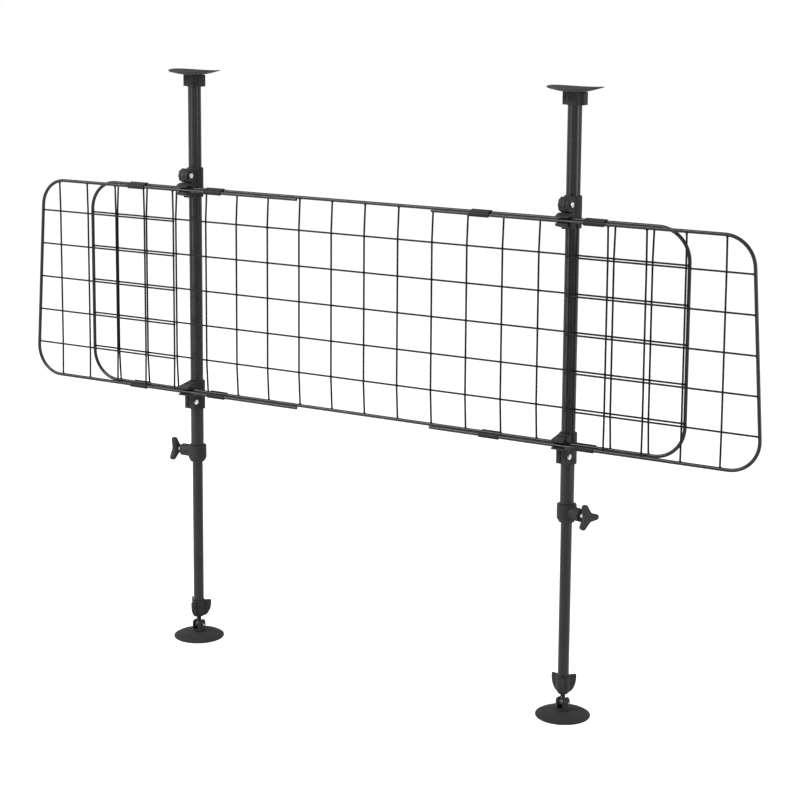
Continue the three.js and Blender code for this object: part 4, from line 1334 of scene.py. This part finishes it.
class MakeStage(bpy.types.Operator):
    """Make the pale floor, the soft studio lights and the camera"""
    bl_idname = "dog_guard.stage"
    bl_label = "Stage"
    bl_options = {"REGISTER", "UNDO"}

    sensor_width = 36
    farthest = 50
    floor_size, floor_drop = 9, 0.0002
    floor_colour = (0.8, 0.8, 0.8, 1)
    white = (1, 1, 1, 1)
    lamps = (
        ("Front light", (-1.7, -2.1, 2.6), (-1.7, 0, 0.6), (3.0, 0.36)),
        ("Gloss light", (-1.7, -2.12, 2.62), (-1.7, 0, 0.6), (3.0, 0.16)),
        ("Left light", (-1.25, -2.25, 0.56), (0, 0, 0.56), (0.26, 1.1)),
        ("Right light", (2.3, -0.1, 0.75), (0, 0, 0.75), (0.34, 1.4)),
    )

    def execute(self, context):
        sizes = context.scene.dog_guard_stage
        self.camera(context.scene, sizes)
        self.floor(sizes)
        powers = (sizes.front_light, sizes.gloss_light, sizes.left_light, sizes.right_light)
        lights = [self.soft_light(*lamp, power) for lamp, power in zip(self.lamps, powers)]
        lights[1].visible_diffuse = False
        self.room(context.scene, sizes)
        context.scene.view_settings.view_transform = "Standard"
        return {"FINISHED"}

    def camera(self, scene, sizes):
        yaw, pitch, roll = sizes.yaw, sizes.pitch, sizes.roll
        ahead = Vector((-math.sin(yaw) * math.cos(pitch), math.cos(yaw) * math.cos(pitch), -math.sin(pitch)))
        level = Vector((math.cos(yaw), math.sin(yaw), 0))
        above = level.cross(ahead)
        right = level * math.cos(roll) + above * math.sin(roll)
        up = above * math.cos(roll) - level * math.sin(roll)
        lens = bpy.data.cameras.new("Camera")
        lens.sensor_width = self.sensor_width
        lens.lens = sizes.lens
        lens.shift_y = sizes.rise
        lens.clip_end = self.farthest
        camera = bpy.data.objects.new("Camera", lens)
        place = Matrix((right, up, -ahead)).transposed().to_4x4()
        place.translation = sizes.camera_place
        camera.matrix_world = place
        scene.collection.objects.link(camera)
        scene.camera = camera

    def floor(self, sizes):
        body = bmesh.new()
        bmesh.ops.create_grid(body, x_segments=2, y_segments=2, size=self.floor_size)
        floor = as_object(body, "studio_floor")
        floor.location.z = -self.floor_drop
        made = bpy.data.materials.new("Pale studio floor")
        made.use_nodes = True
        tree = made.node_tree
        tree.nodes.clear()
        matt = add_node(tree, "BsdfDiffuse", {"Color": self.floor_colour}).outputs["BSDF"]
        lift = add_node(tree, "Emission", {"Strength": sizes.floor_lift}).outputs["Emission"]
        both = add_node(tree, "AddShader", {0: matt, 1: lift}).outputs["Shader"]
        seen = add_node(tree, "MixShader", {"Fac": seen_by_camera(tree), 1: matt, 2: both})
        add_node(tree, "OutputMaterial", {"Surface": seen.outputs["Shader"]})
        floor.data.materials.append(made)

    def soft_light(self, name, place, target, size, power):
        lamp = bpy.data.lights.new(name, "AREA")
        lamp.shape = "RECTANGLE"
        lamp.size, lamp.size_y = size
        lamp.energy = power
        light = bpy.data.objects.new(name, lamp)
        light.location = place
        light.rotation_euler = (Vector(target) - Vector(place)).to_track_quat("-Z", "Y").to_euler()
        bpy.context.scene.collection.objects.link(light)
        return light

    def room(self, scene, sizes):
        world = bpy.data.worlds.new("Pale studio room")
        world.use_nodes = True
        tree = world.node_tree
        tree.nodes.clear()
        even = add_node(tree, "Background", {"Color": self.white, "Strength": sizes.room_light})
        bright = add_node(tree, "Background", {"Color": self.white})
        seen = add_node(tree, "MixShader", {
            "Fac": seen_by_camera(tree), 1: even.outputs["Background"], 2: bright.outputs["Background"],
        })
        add_node(tree, "OutputWorld", {"Surface": seen.outputs["Shader"]})
        scene.world = world


def seen_by_camera(tree):
    """One where the camera sees a surface, straight or in a reflection, else zero."""
    path = add_node(tree, "LightPath", {})
    found = path.outputs["Is Camera Ray"]
    for ray in ("Is Glossy Ray", "Is Transmission Ray"):
        either = add_node(tree, "Math", {0: found, 1: path.outputs[ray]})
        either.operation = "MAXIMUM"
        found = either.outputs["Value"]
    return found


GROUPS = {
    "dog_guard_colours": DogGuardColours,
    "dog_guard_panels": DogGuardPanels,
    "dog_guard_posts": DogGuardPosts,
    "dog_guard_stage": DogGuardStage,
}

OPERATORS = (
    MakeStage,
    MakeWireFrames,
    MakeWireMeshes,
    MakeRailClips,
    MakeTopPads,
    MakeTopHubs,
    MakeTubes,
    MakeHeightCollars,
    MakeClampScrews,
    MakeFootNuts,
    MakeFootStuds,
    MakeFootPads,
    MakeUpperBrackets,
    MakeLowerBrackets,
)


class DogGuardPanel(bpy.types.Panel):
    """Lists the pieces of the dog guard, their sizes and their colours"""
    bl_idname = "VIEW3D_PT_dog_guard"
    bl_label = "Dog guard"
    bl_space_type = "VIEW_3D"
    bl_region_type = "UI"
    bl_category = "Dog guard"

    def draw(self, context):
        for operator in OPERATORS:
            self.layout.operator(operator.bl_idname)
        for owner in GROUPS:
            group = getattr(context.scene, owner)
            for name in group.__annotations__:
                self.layout.prop(group, name)


def register():
    for owner, group in GROUPS.items():
        bpy.utils.register_class(group)
        setattr(bpy.types.Scene, owner, PointerProperty(type=group))
    for operator in OPERATORS:
        bpy.utils.register_class(operator)
    bpy.utils.register_class(DogGuardPanel)


def unregister():
    bpy.utils.unregister_class(DogGuardPanel)
    for operator in reversed(OPERATORS):
        bpy.utils.unregister_class(operator)
    for owner, group in GROUPS.items():
        delattr(bpy.types.Scene, owner)
        bpy.utils.unregister_class(group)


def main():
    register()
    for operator in OPERATORS:
        area, name = operator.bl_idname.split(".")
        getattr(getattr(bpy.ops, area), name)()


if __name__ == "__main__":
    main()
